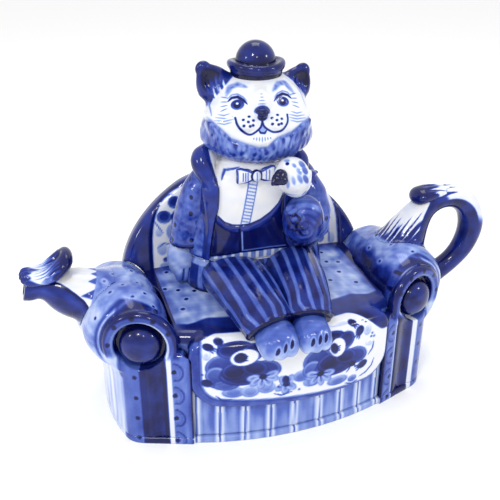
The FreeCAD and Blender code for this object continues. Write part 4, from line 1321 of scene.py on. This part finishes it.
def paint_hips(p, n):
    wash = mottle(p, 12.0, 17)
    phase = np.arctan2(p[:, 0] + 3.0, 9.0 - p[:, 1]) * 26.0
    tone = striped(phase, wash)
    tone = over(tone, ramp(SEAT_Z + 3.4 - p[:, 2], -0.6, 0.6), 1.1)
    panel = ramp(-34.2 - p[:, 0], -0.5, 0.5) * ramp(p[:, 2], 85.4, 86.2) * ramp(-p[:, 1], -4.0, 0.0)
    tone = over(tone, panel, 0.40 + 0.1 * wash)
    tone = over(tone, ramp(n[:, 2], 0.7, 0.85) * ramp(p[:, 2], SEAM - 1.2, SEAM - 0.6), 0.02)
    outward = n[:, 0] * (p[:, 0] + 3.0) + n[:, 1] * (p[:, 1] - 9.0)
    return np.where((outward < 0.0) & (stack(p, HIPS, 2.4) < -1.8), 0.0, tone)


def paint_leg(path):
    end, before = np.array(path[-1][:3]), np.array(path[-3][:3])
    forward = (end - before) / np.linalg.norm(end - before)

    def paint(p, n):
        wash = mottle(p, 13.0, 18)
        tone = striped(leg_angle(p, path) * 14.0 + 0.5 * np.sin(p[:, 1] * 0.12), wash)
        past = (p - end.astype(np.float32)) @ forward.astype(np.float32)
        return over(tone, ramp(past, -1.7, -1.0), 1.15)

    return paint


RIGHT_TOES = [(-16.6, 67.0), (-12.6, 68.6), (-8.6, 69.6)]
LEFT_TOES = [(2.6, 68.6), (6.4, 69.8), (10.0, 69.6)]


def paint_foot(marks):
    def paint(p, n):
        tone = 0.22 + 0.36 * ramp(p[:, 2], 60.5, 74.0) + 0.09 * mottle(p, 7.0, 19)
        tone = tone + 0.2 * ramp(-p[:, 2], -60.0, -55.0)
        tone = over(tone, ramp(p[:, 1], -61.5, -59.0), 0.75)
        for x, z in marks:
            d = np.hypot((p[:, 0] - x - 0.25 * (p[:, 2] - z)) / 0.95, (p[:, 2] - z) / 2.1)
            front = ramp(-p[:, 1], 66.0, 69.0)
            tone = over(tone, front * 0.5 * ramp(1.7 - d, -0.3, 0.4), 0.22)
            tone = over(tone, front * ramp(1.0 - d, -0.25, 0.25), 1.15)
        return tone

    return paint


def paint_torso(p, n):
    x, y, z = p[:, 0], p[:, 1], p[:, 2]
    opening, low, high = torso_zones(p)
    wash = mottle(p, 12.0, 20)
    front = ramp(-y, -7.0, -3.0)
    q = p[:, [0, 2]].astype(float)
    around = np.arctan2(x + 4.5, 8.0 - y) * 30.0
    jacket = 0.58 + 0.15 * wash + 0.10 * mottle(p, 5.0, 21)
    jacket = dotted(jacket, scatter(around, z, 9.5, 22.0), 0.95, halo=0.46)
    left, right = along_z(EDGE_LEFT, p) - x, x - along_z(EDGE_RIGHT, p)
    width = np.interp(z, [90, 102, 113, 122, 135, 150], [3.0, 3.2, 3.8, 6.8, 8.8, 9.0])
    lapel = ramp(width - left, -0.4, 0.4) * ramp(left, -1.0, 0.0)
    lapel = lapel + ramp(4.0 - right, -0.4, 0.4) * ramp(right, -1.0, 0.0)
    jacket = over(jacket, np.clip(lapel, 0, 1) * front, 0.80 + 0.10 * wash)
    collar = chain(p, COLLAR, blend=2.5)
    jacket = over(jacket, ramp(2.2 - collar, -0.6, 0.6) * ramp(z, 126.0, 130.0), 0.84 + 0.08 * wash)
    edge = ramp(0.8 - np.abs(left - width), -0.4, 0.4) * front * ramp(left, 0.0, 1.0)
    jacket = over(jacket, edge * 0.8, 0.95)
    jacket = over(jacket, ramp(92.0 - z, -0.3, 0.4), 0.9)
    shirt = 0.02 + 0.02 * wash
    shirt = stroke(shirt, q, SHIRT_FLAP[:3], 1.0, 0.74)
    strip = np.abs(x - along_z(PLACKET, p))
    dashes = ramp(np.sin((z + 0.25 * x) * 2.0 * math.pi / 2.05), -0.1, 0.5)
    placket = over(shirt, ramp(2.2 - strip, -0.2, 0.2), 0.06 + 0.34 * dashes)
    placket = over(placket, ramp(0.35 - np.abs(strip - 2.35), -0.2, 0.25), 0.5)
    shirt = over(shirt, ramp(141.0 - z, -0.5, 0.5) * ramp(2.9 - strip, -0.2, 0.2), placket)
    vest = 1.0 + 0.07 * wash
    vest = over(vest, ramp(3.6 - low, -0.5, 0.5), 0.80 + 0.06 * wash)
    closing = x - np.interp(z, [96, 113], [-17.2, -18.3])
    vest = over(vest, ramp(0.45 - np.abs(closing - 0.5), -0.3, 0.3) * ramp(low, 3.0, 3.8), 0.36)
    vest = over(vest, ramp(0.5 - np.abs(closing + 0.7), -0.3, 0.3) * ramp(low, 0.5, 1.5), 1.2)
    vest = over(vest, ramp(0.45 - np.abs(high - 1.0), -0.3, 0.3) * ramp(closing, 0.0, 0.6), 0.5)
    chest = over(shirt, ramp(low, -0.3, 0.3), vest)
    chest = over(chest, ramp(0.5 - np.abs(low + 0.3), -0.3, 0.3), 1.05)
    trousers = over(0.42 + 0.06 * wash, ramp(np.sin(x * 2.0 * math.pi / 4.6), 0.0, 0.6), 0.08)
    chest = over(chest, ramp(-high, -0.3, 0.3), trousers)
    chest = over(chest, ramp(0.55 - np.abs(high + 0.2), -0.3, 0.3), 1.1)
    tone = over(jacket, ramp(opening, -0.3, 0.3) * front, chest)
    tone = over(tone, ramp(0.55 - np.abs(opening), -0.35, 0.35) * front * ramp(150.0 - z, 0.0, 6.0),
                1.12)
    inside = stack(p, TORSO, 2.4) < -2.0
    return np.where(inside | (p[:, 2] < TORSO_LOW[2] + 0.6), 0.0, tone)


def sleeve_cloth(p, centre, base, seed):
    """Mottled cloth with loosely spaced dots around a sleeve that stands at centre in plan."""
    around = np.arctan2(p[:, 0] - centre[0], centre[1] - p[:, 1]) * 10.0
    tone = base + 0.13 * mottle(p, 11.0, seed) + 0.08 * mottle(p, 5.0, seed + 1)
    return dotted(tone, scatter(around, p[:, 2], 9.5, float(seed)), 0.95, halo=base * 0.8)


def paint_right_sleeve(p, n):
    tone = sleeve_cloth(p, (-38.0, 9.0), 0.66, 23)
    return over(tone, ramp(CUFF_Z + 2.6 - p[:, 2], -0.4, 0.4), 0.95)


def paint_left_sleeve(p, n):
    z = p[:, 2]
    tone = sleeve_cloth(p, (24.0, 0.0), 0.60, 24)
    tone = over(tone, ramp(z, 124.0, 131.0) * 0.7, 0.85)
    return over(tone, ramp(99.0 - z, -1.2, 1.0), 0.95)


def paint_right_hand(p, n):
    x, y, z = p[:, 0], p[:, 1], p[:, 2]
    tone = 0.30 + 0.08 * mottle(p, 8.0, 26) + 0.26 * ramp(80.0 - z, -2.0, 5.0)
    for at in (-47.4, -43.9):
        lane = np.abs(x - at - 0.12 * (z - 77.0))
        below = ramp(82.5 - z, 0.0, 1.5) * ramp(-y, -10.0, -7.0)
        tone = over(tone, ramp(0.55 - lane, -0.3, 0.3) * below, 0.85)
    return over(tone, ramp(z, 94.2, 95.0), 0.98)


def paint_left_hand(p, n):
    q = turned(p, (13.0, -30.0, 112.0), about_z=-18)
    swirl = np.sqrt(q[:, 0] ** 2 + q[:, 2] ** 2)
    tone = 0.74 + 0.14 * mottle(p, 9.0, 27)
    wobble = 0.8 * np.sin(3.0 * np.arctan2(q[:, 2], q[:, 0]))
    tone = tone + 0.13 * ramp(np.cos(2.1 * swirl + wobble), 0.0, 0.7)
    tone = tone - 0.22 * ramp(p[:, 2], 117.0, 126.0)
    q2 = p[:, [0, 2]].astype(float)
    for points in ([(4.5, 121.5), (7.5, 122.6), (9.4, 120.4), (8.0, 118.6), (6.2, 119.6)],
                   [(4.6, 116.5), (8.5, 117.0), (10.6, 114.6)],
                   [(5.2, 112.6), (9.4, 112.4), (12.0, 110.0)]):
        tone = np.where(p[:, 1] < -20.0, stroke(tone, q2, points, 1.3, 1.12), tone)
    return over(tone, ramp(103.5 - p[:, 2], -0.8, 1.0), 0.95)


BIRD_VIEW = np.array([[0.94, -0.34, 0.0], [0.15, 0.41, 0.90], [-0.31, -0.85, 0.43]])


def paint_bird(p, n):
    tone = 0.03 + 0.04 * mottle(p, 5.0, 28)
    side, up, out = ((p - BIRD_AT.astype(np.float32)) / 9.0 @ BIRD_VIEW.T.astype(np.float32)).T
    q = np.stack([side, up], axis=1).astype(float)
    marks = tone
    for at, half, value, turn in (((0.10, 0.42), (0.10, 0.15), 0.4, 40),
                                  ((0.55, 0.52), (0.16, 0.24), 0.5, 40),
                                  ((0.72, 0.18), (0.16, 0.24), 0.55, 30),
                                  ((0.38, 0.10), (0.12, 0.22), 0.36, 35),
                                  ((0.44, -0.32), (0.13, 0.26), 0.42, 30),
                                  ((0.08, -0.42), (0.11, 0.24), 0.34, 15),
                                  ((-0.36, -0.12), (0.09, 0.15), 0.3, 10),
                                  ((0.78, -0.3), (0.15, 0.24), 0.6, 30),
                                  ((-0.30, 0.72), (0.16, 0.1), 0.36, 0),
                                  ((-0.22, -0.62), (0.10, 0.2), 0.34, 0)):
        marks = blob(marks, q, at, half, value, turn=turn, soft=0.05, shade=-0.1)
    marks = blob(marks, q, (-0.28, 0.52), (0.10, 0.09), 1.25, soft=0.03)
    tone = over(tone, ramp(out, 0.0, 0.2), marks)
    away = scatter(p[:, 0] + p[:, 1], p[:, 2], 4.6, 44.0)
    return over(tone, ramp(-out, 0.0, 0.2) * ramp(1.2 - away, -0.4, 0.4), 0.42)


def paint_bow(p, n):
    u, v = p[:, 0] - KNOT_AT[0], p[:, 2] - KNOT_AT[2]
    half = np.interp(np.abs(u), [0, 1.5, 5.0, 8.4, 10.8], [3.0, 1.9, 3.5, 4.6, 4.7])
    rim = half - np.abs(v - 0.02 * np.abs(u))
    tone = 0.02 + 0.0 * u
    tone = over(tone, ramp(0.8 - rim, -0.3, 0.3), 0.74)
    tone = over(tone, ramp(np.abs(u), 9.6, 10.1), 0.74)
    for at in (-4.8, -6.1, -7.4):
        tone = over(tone, ramp(0.32 - np.abs(u - at), -0.2, 0.2) * ramp(2.4 - np.abs(v), -0.3, 0.3),
                    0.6)
    for at in (5.2, 7.0):
        tone = over(tone, ramp(0.3 - np.abs(u - at), -0.2, 0.2) * ramp(2.8 - np.abs(v), -0.3, 0.3), 0.5)
    knot = np.hypot(u / 2.7, v / 3.4)
    tone = over(tone, ramp(1.12 - knot, -0.08, 0.08), 0.06)
    tone = over(tone, ramp(0.16 - np.abs(knot - 1.0), -0.06, 0.06), 0.98)
    return over(tone, ramp(0.3 - np.abs(u + 0.3), -0.2, 0.2) * ramp(0.7 - knot, -0.1, 0.1), 0.5)


def paint_hat(p, n):
    r = np.hypot(p[:, 0] - HAT_AT[0], p[:, 1] - HAT_AT[1])
    tone = 0.95 + 0.08 * mottle(p, 8.0, 29)
    tone = over(tone, ramp(192.8 - p[:, 2], -0.5, 0.5), 1.25)
    crease = ramp(p[:, 2], 193.0, 195.0) * ramp(200.0 - p[:, 2], 0.0, 2.0)
    return over(tone, ramp(0.9 - np.abs(r - 10.6), -0.4, 0.4) * crease, 1.15)


def paint_head(p, n):
    u, w, f = face(p)
    q = np.stack([u, w - SIGHT * f], axis=1).astype(float)
    on = lambda *marks: [(a, lie(a, b)) for a, b in marks]
    front = ramp(f, 0.0, 5.0)
    wash = mottle(p, 9.0, 30)
    fur = mottle(p * np.array([1.0, 1.0, 0.5]), 3.2, 31)
    tone = 0.03 + 0.02 * wash
    art = tone.copy()
    # brows, eyes and lashes
    for brow in ([(-16.8, 18.3), (-14.6, 21.2), (-11.0, 22.6), (-6.6, 22.2)],
                 [(6.4, 20.8), (10.0, 22.8), (13.6, 22.2), (17.8, 18.4)]):
        art = stroke(art, q, [(a, b - 0.9) for a, b in on(*brow)], 3.2, 0.42 + 0.14 * fur, soft=0.9)
    for side, (eu, ew) in ((-1, (-11.6, 15.2)), (1, (11.4, 16.0))):
        eye = (eu, lie(eu, ew))
        art = blob(art, q, eye, (3.3, 2.9), 0.74, shade=0.22, soft=0.3)
        art = blob(art, q, (eye[0] - 0.2, eye[1] - 0.3), (1.7, 1.7), 1.1, soft=0.3)
        art = blob(art, q, (eye[0] - 0.1, eye[1] + 0.7), (0.75, 0.65), 0.0, soft=0.25)
        lid = [(eu - 4.6, lie(eu - 4.6, ew + 0.6)), (eu - 2.6, lie(eu - 2.6, ew + 2.3)),
               (eu + 0.2, lie(eu, ew + 2.9)), (eu + 2.9, lie(eu + 2.9, ew + 2.0)),
               (eu + 4.8, lie(eu + 4.8, ew + 0.4))]
        art = stroke(art, q, lid, 1.5, 1.05, soft=0.3)
        fold = [(a, b + 1.7) for a, b in lid]
        art = stroke(art, q, fold, 0.8, 0.45, soft=0.3)
        for k in range(4):
            start = (eu + side * (4.2 + 0.3 * k), lie(eu + side * 4.2, ew + 1.9 - 1.3 * k))
            end = (start[0] + side * 3.6, start[1] + 1.5 - 1.0 * k)
            art = stroke(art, q, [start, end], 0.62, 0.5, soft=0.25)
    # nose, mouth and tongue
    art = blob(art, q, (0.3, lie(0.2, 12.6)), (3.9, 2.7), 0.98, shade=-0.14)
    art = blob(art, q, (0.3, lie(0.2, 10.4)), (2.5, 2.3), 1.08)
    for k in range(4):
        half, height = 1.9 - 0.42 * k, 15.2 + 1.25 * k
        art = stroke(art, q, on((-half, height), (half, height)), 0.62, 0.42, soft=0.25)
    left = on((0.3, 8.2), (-0.6, 5.6), (-3.7, 2.9), (-6.5, 2.0), (-10.1, 3.7), (-12.3, 6.2),
              (-13.1, 9.4))
    right = on((0.3, 8.2), (1.2, 6.0), (3.7, 4.0), (6.6, 2.8), (10.5, 3.3), (13.1, 6.5), (13.2, 10.2))
    art = blob(art, q, (0.5, lie(0.5, 4.4)), (1.9, 1.8), 0.30, soft=0.3)
    art = stroke(art, q, on((-1.6, 4.4), (-0.6, 2.8), (1.4, 2.6), (2.6, 4.2)), 1.0, 1.0, soft=0.3)
    for mouth in (left, right):
        art = stroke(art, q, curve2(mouth), 0.95, 0.98, soft=0.3, taper=False)
    for cu, cw in ((-6.9, 7.6), (7.4, 8.0)):
        for du, dw in ((0.0, 0.0), (2.6, 0.6), (-2.4, 1.0), (0.5, 2.3), (-2.2, -1.5), (0.9, -1.8),
                       (2.4, -1.4)):
            art = blob(art, q, (cu + du, lie(cu, cw) + 1.3 * dw), (0.72, 0.68), 1.0, soft=0.25)
    # cheek strokes, chin strokes and the stroke beside the brow
    for side, cu, cw in ((-1, -18.6, 7.9), (1, 18.4, 8.1)):
        for k in range(4):
            length = (3.0, 4.4, 4.8, 3.6)[k]
            mid = (cu, lie(cu, cw) + 2.4 - 1.65 * k)
            bend = [(mid[0] - length, mid[1] + 0.5), (mid[0], mid[1] - 0.5),
                    (mid[0] + length, mid[1] + 0.4)]
            art = stroke(art, q, bend, 0.7, 0.42, soft=0.3)
    for k in range(7):
        cu = -3.9 + 1.35 * k
        whisker = on((cu, 0.7 - 0.10 * abs(k - 3)), (cu + 0.12 * (k - 3), -2.2 + 0.5 * abs(k - 3)))
        art = stroke(art, q, whisker, 0.55, 0.5, soft=0.25)
    art = stroke(art, q, on((-19.6, 20.6), (-22.6, 16.6), (-25.2, 12.0), (-24.6, 7.4)), 0.9, 0.5,
                 soft=0.4)
    art = stroke(art, q, on((20.5, 20.0), (23.0, 15.5), (24.2, 11.0)), 0.7, 0.3, soft=0.4)
    tone = over(tone, front, art)
    # ruff and the back of the head
    edge = ruff_side(p)
    ruff = 0.52 + 0.15 * fur + 0.12 * wash + 0.16 * ramp(fur, 0.15, 0.5)
    ruff = over(ruff, ramp(1.2 + edge, -0.8, 1.0) * 0.7, 0.34)
    ruff = over(ruff, ramp(-edge - 8.4, -1.0, 1.5) * 0.6, 0.72)
    tone = over(tone, ramp(-edge, -0.7, 0.7) * ramp(f, -3.0, 3.0), ruff)
    back = 0.30 + 0.14 * fur + 0.28 * ramp(-w, 2.0, 10.0)
    tone = over(tone, ramp(-f, -1.0, 7.0), back)
    jowl = ramp(-w + 2.0, 0.0, 4.0) * ramp(np.abs(u), 20.0, 27.0) * ramp(-f, -14.0, -6.0)
    tone = over(tone, jowl * 0.8, 0.42 + 0.15 * fur)
    # ears
    for path, side in EARS:
        ear = chain(p, path, stretch=(1, 1.55, 1), blend=3.0)
        a, b = np.array(path[0][:3]), np.array(path[2][:3])
        along = ((p - a) @ (b - a)) / ((b - a) @ (b - a))
        mask = ramp(1.4 - ear, -0.7, 0.7) * ramp(along, 0.05, 0.2)
        c, mid = np.array(path[1][:3]), 0.45 * np.array(path[1][:3]) + 0.55 * np.array(path[2][:3])
        bowl = ball(p, mid + np.array([side * -0.6, -7.6, -1.6]), (5.6, 5.6, 8.6), about_y=side * 34)
        cup = ramp(0.9 - bowl, -0.5, 0.5) * ramp(-n[:, 1], -0.3, 0.2)
        comb = np.sin(2.2 * p[:, 0] + 0.5 * p[:, 2]) + 0.6 * np.sin(3.8 * p[:, 0] - 0.9)
        inner = over(0.03 + 0.0 * along, ramp(along + 0.09 * comb - 0.42, -0.06, 0.10), 0.75)
        inner = over(inner, ramp(along + 0.05 * comb - 0.66, -0.05, 0.12), 1.22)
        lower = ramp(along - 0.16, -0.1, 0.1)
        ear_tone = over(0.90 + 0.08 * wash, cup, inner)
        front_low = ramp(0.34 + 0.05 * comb - along, -0.05, 0.05) * ramp(-n[:, 1], 0.1, 0.4)
        front_low = front_low * ramp(side * (p[:, 0] - c[0]), 6.0, 2.0)
        tone = over(tone, mask * lower * (1.0 - front_low), ear_tone)
    inside = head_outer(p) < -2.0
    return np.where(inside, 0.0, tone)


def curve2(points, steps=4):
    """Rounder broken line through plane points."""
    rows = [(a, b, 0.0, 0.0) for a, b in points]
    return [(row[0], row[1]) for row in curve(rows, steps)]


def paint_beak(p, n):
    return 1.16 + 0.08 * mottle(p, 3.0, 42)


def paint_tail(p, n):
    return 0.82 + 0.14 * mottle(p * np.array([0.4, 1.0, 1.0]), 3.0, 40)


def paint_flange(p, n):
    return 0.0 * p[:, 0]


# ---- materials ----------------------------------------------------------------------------------
def srgb(r, g, b):
    """Linear colour of an sRGB triple."""
    linear = [v / 12.92 if v <= 0.04045 else ((v + 0.055) / 1.055) ** 2.4 for v in (r, g, b)]
    return (*linear, 1.0)


COBALT = [
    (0.00, srgb(0.86, 0.86, 0.86)),
    (0.12, srgb(0.73, 0.77, 0.87)),
    (0.30, srgb(0.52, 0.60, 0.81)),
    (0.52, srgb(0.29, 0.38, 0.69)),
    (0.76, srgb(0.10, 0.18, 0.52)),
    (1.00, srgb(0.025, 0.055, 0.30)),
    (1.30, srgb(0.01, 0.015, 0.12)),
]


def glaze(name, wash=0.12, streak=0.0, streak_scale=(900.0, 900.0, 140.0), rough=0.1):
    """Underglaze cobalt by the pigment painted on the points, under a clear coat with faint ripples."""
    material = bpy.data.materials.new(name)
    material.use_nodes = True
    nodes, links = material.node_tree.nodes, material.node_tree.links
    shader = nodes["Principled BSDF"]
    shader.inputs["Roughness"].default_value = 0.14
    shader.inputs["Specular IOR Level"].default_value = 0.2
    shader.inputs["IOR"].default_value = 1.5
    shader.inputs["Coat Weight"].default_value = 0.3
    shader.inputs["Coat Roughness"].default_value = 0.04
    shader.inputs["Coat IOR"].default_value = 1.5
    where = nodes.new("ShaderNodeTexCoord")
    paint = nodes.new("ShaderNodeAttribute")
    paint.attribute_name = "pigment"

    def math_node(kind, a, b, c=None):
        node = nodes.new("ShaderNodeMath")
        node.operation = kind
        for socket, value in zip(node.inputs, (a, b, c)):
            if value is None:
                continue
            if isinstance(value, (int, float)):
                socket.default_value = value
            else:
                links.new(value, socket)
        return node.outputs[0]

    def noise(scale, detail, stretch=None):
        texture = nodes.new("ShaderNodeTexNoise")
        texture.inputs["Detail"].default_value = detail
        texture.inputs["Scale"].default_value = scale
        if stretch is None:
            links.new(where.outputs["Object"], texture.inputs["Vector"])
        else:
            mapping = nodes.new("ShaderNodeMapping")
            mapping.inputs["Scale"].default_value = stretch
            links.new(where.outputs["Object"], mapping.inputs["Vector"])
            links.new(mapping.outputs["Vector"], texture.inputs["Vector"])
        return texture.outputs["Fac"]

    pooling = math_node("MULTIPLY_ADD", noise(110.0, 3.0), 2.0 * wash, 1.0 - wash)
    grain = math_node("MULTIPLY_ADD", noise(700.0, 2.0), 0.9 * wash, -0.45 * wash)
    amount = math_node("MULTIPLY", paint.outputs["Fac"], pooling)
    damp = math_node("MINIMUM", paint.outputs["Fac"], 0.6)
    amount = math_node("MULTIPLY_ADD", grain, damp, amount)
    if streak > 0.0:
        lines = math_node("SUBTRACT", noise(1.0, 2.0, streak_scale), 0.5)
        shift = math_node("MULTIPLY", lines, math_node("MULTIPLY", damp, 4.0 * streak))
        amount = math_node("ADD", amount, shift)
    colours = nodes.new("ShaderNodeValToRGB")
    colours.color_ramp.interpolation = "LINEAR"
    stops = colours.color_ramp.elements
    while len(stops) < len(COBALT):
        stops.new(0.5)
    for stop, (place, colour) in zip(stops, COBALT):
        stop.position = place / DARKEST
        stop.color = colour
    links.new(math_node("MULTIPLY", amount, 1.0 / DARKEST), colours.inputs["Fac"])
    links.new(colours.outputs["Color"], shader.inputs["Base Color"])
    ripple = nodes.new("ShaderNodeBump")
    ripple.inputs["Strength"].default_value = 0.12
    ripple.inputs["Distance"].default_value = 0.0006
    links.new(noise(95.0, 1.5), ripple.inputs["Height"])
    links.new(ripple.outputs["Normal"], shader.inputs["Normal"])
    spread = math_node("MULTIPLY_ADD", noise(60.0, 2.0), 0.12, rough)
    links.new(spread, shader.inputs["Roughness"])
    return material


def biscuit(name):
    """Unglazed fired porcelain: matt, faintly warm and grainy."""
    material = bpy.data.materials.new(name)
    material.use_nodes = True
    nodes, links = material.node_tree.nodes, material.node_tree.links
    shader = nodes["Principled BSDF"]
    shader.inputs["Roughness"].default_value = 0.62
    where = nodes.new("ShaderNodeTexCoord")
    grain = nodes.new("ShaderNodeTexNoise")
    grain.inputs["Scale"].default_value = 900.0
    grain.inputs["Detail"].default_value = 4.0
    links.new(where.outputs["Object"], grain.inputs["Vector"])
    colours = nodes.new("ShaderNodeValToRGB")
    colours.color_ramp.elements[0].position, colours.color_ramp.elements[1].position = 0.3, 0.7
    colours.color_ramp.elements[0].color = srgb(0.78, 0.765, 0.73)
    colours.color_ramp.elements[1].color = srgb(0.87, 0.86, 0.835)
    links.new(grain.outputs["Fac"], colours.inputs["Fac"])
    links.new(colours.outputs["Color"], shader.inputs["Base Color"])
    bump = nodes.new("ShaderNodeBump")
    bump.inputs["Strength"].default_value = 0.25
    bump.inputs["Distance"].default_value = 0.0002
    links.new(grain.outputs["Fac"], bump.inputs["Height"])
    links.new(bump.outputs["Normal"], shader.inputs["Normal"])
    return material


# ---- the pieces ---------------------------------------------------------------------------------
SOFA_GLAZE = glaze("painted_glaze", wash=0.13)
CLOTH_GLAZE = glaze("brushed_glaze", wash=0.16, streak=0.05)
FACE_GLAZE = glaze("fine_glaze", wash=0.09)
BISCUIT = biscuit("bare_biscuit")


def shown_of_seat(c):
    inward = BOW_R - bow(c)[1]
    front = (c[:, 1] < 0.0) & (np.abs(c[:, 2] - 46.0) < 26.0) & (np.abs(inward - 2.5) < 5.5)
    return front | (c[:, 2] > seat_top(c) - 1.5)


def front_of_torso(c):
    return (c[:, 1] < -11.0) & (stack(c, TORSO, 2.4) > -1.2)


def front_of_face(c):
    return (face(c)[2] > 9.0) & (head_outer(c) > -1.0)


POT = [
    ("seat_box", seat_field, paint_seat, SOFA_GLAZE, 1.28, shown_of_seat),
    ("base_plate", base_field, paint_base, SOFA_GLAZE, 0.9, None),
    ("left_armrest", arm_field, paint_arm(False), SOFA_GLAZE, 0.75, None),
    ("right_armrest", mirrored(arm_field), paint_arm(True), SOFA_GLAZE, 0.75, None),
    ("left_scroll_knob", knob_field, paint_knob, SOFA_GLAZE, 0.5, None),
    ("right_scroll_knob", mirrored(knob_field), paint_knob, SOFA_GLAZE, 0.5, None),
    ("backrest", backrest_field, paint_back, SOFA_GLAZE, 0.8, None),
    ("spout", spout_field, paint_spout, SOFA_GLAZE, 0.45, None),
    ("spout_leaf", spout_leaf_field, paint_spout_leaf, SOFA_GLAZE, 0.45, None),
    ("handle", handle_field, paint_handle, SOFA_GLAZE, 0.5, None),
    ("handle_leaf", handle_leaf_field, paint_handle_leaf, SOFA_GLAZE, 0.45, None),
    ("cat_hips", hips_field, paint_hips, CLOTH_GLAZE, 0.55, None),
    ("right_leg", leg_field(RIGHT_LEG, 1.36), paint_leg(RIGHT_LEG), CLOTH_GLAZE, 0.5, None),
    ("left_leg", leg_field(LEFT_LEG, 1.2), paint_leg(LEFT_LEG), CLOTH_GLAZE, 0.5, None),
    ("right_foot", foot_field(*RIGHT_FOOT), paint_foot(RIGHT_TOES), FACE_GLAZE, 0.45, None),
    ("left_foot", foot_field(*LEFT_FOOT), paint_foot(LEFT_TOES), FACE_GLAZE, 0.45, None),
]
LID = [
    ("torso", torso_field, paint_torso, FACE_GLAZE, 0.74, front_of_torso),
    ("lid_flange", flange_field, paint_flange, BISCUIT, 0.7, None),
    ("head", head_field, paint_head, FACE_GLAZE, 0.68, front_of_face),
    ("hat", hat_field, paint_hat, CLOTH_GLAZE, 0.45, None),
    ("right_sleeve", sleeve_field(RIGHT_ARM, CUFF_Z), paint_right_sleeve, CLOTH_GLAZE, 0.5, None),
    ("left_sleeve", sleeve_field(LEFT_ARM), paint_left_sleeve, CLOTH_GLAZE, 0.5, None),
    ("right_hand", right_hand_field, paint_right_hand, FACE_GLAZE, 0.5, None),
    ("left_hand", left_hand_field, paint_left_hand, FACE_GLAZE, 0.45, None),
    ("bird", bird_field, paint_bird, FACE_GLAZE, 0.4, None),
    ("bird_beak", beak_field, paint_beak, FACE_GLAZE, 0.35, None),
    ("bird_tail", tail_field, paint_tail, FACE_GLAZE, 0.4, None),
    ("bow_tie", bow_field, paint_bow, FACE_GLAZE, 0.3, None),
]
WIDE = ("head", "hat", "torso", "backrest")     # pieces that reach further past their CAD box
for body, pieces in (("pot", POT), ("lid", LID)):
    for name, field, paint, material, cell, fine in pieces:
        build(name, body, field, paint, material, cell, 9.0 if name in WIDE else 4.0, fine)


# ---- view and light -----------------------------------------------------------------------------
CAMERA_AT = (-0.12145, -0.35037, 0.27002)       # metres
CAMERA_AIM = (-0.0079, 0.0, 0.0893)
FOCAL = 704.16 / 500.0                          # focal length over the width of the picture


def stage_and_light():
    floor = bpy.data.meshes.new("floor")
    floor.from_pydata([(-3, -3, 0), (3, -3, 0), (3, 3, 0), (-3, 3, 0)], [], [(0, 1, 2, 3)])
    pale = bpy.data.materials.new("pale_floor")
    pale.use_nodes = True
    pale.node_tree.nodes["Principled BSDF"].inputs["Base Color"].default_value = (0.95, 0.95, 0.95, 1.0)
    pale.node_tree.nodes["Principled BSDF"].inputs["Roughness"].default_value = 0.9
    floor.materials.append(pale)
    ground = bpy.data.objects.new("floor", floor)
    bpy.context.scene.collection.objects.link(ground)

    world = bpy.data.worlds.new("studio")
    world.use_nodes = True
    world.node_tree.nodes["Background"].inputs["Color"].default_value = (1.0, 1.0, 1.0, 1.0)
    world.node_tree.nodes["Background"].inputs["Strength"].default_value = 0.98
    bpy.context.scene.world = world
    bpy.context.scene.view_settings.view_transform = "Standard"

    for name, place, size, power in (
        ("key", (-0.45, -0.6, 0.85), 0.14, 3.0),
        ("fill", (0.75, -0.55, 0.6), 0.12, 1.5),
        ("strip", (-0.1, -0.7, 0.6), 0.07, 0.6),
        ("side", (-0.8, -0.2, 0.5), 0.1, 0.9),
        ("top", (0.1, 0.3, 1.0), 0.4, 2.0),
    ):
        lamp = bpy.data.lights.new(name, "AREA")
        lamp.energy = power
        lamp.size = size
        holder = bpy.data.objects.new(name, lamp)
        holder.location = place
        holder.rotation_euler = direction_angles(place, (0.0, 0.0, 0.08))
        bpy.context.scene.collection.objects.link(holder)


def direction_angles(place, target):
    """Euler angles that point a camera or lamp from place to target, upright."""
    dx, dy, dz = (t - p for t, p in zip(target, place))
    return (math.atan2(math.hypot(dx, dy), -dz), 0.0, math.atan2(-dx, dy))


def photo_camera():
    data = bpy.data.cameras.new("camera")
    data.sensor_width = 36.0
    data.lens = FOCAL * data.sensor_width
    camera = bpy.data.objects.new("camera", data)
    camera.location = CAMERA_AT
    camera.rotation_euler = direction_angles(CAMERA_AT, CAMERA_AIM)
    bpy.context.scene.collection.objects.link(camera)
    bpy.context.scene.camera = camera


stage_and_light()
photo_camera()
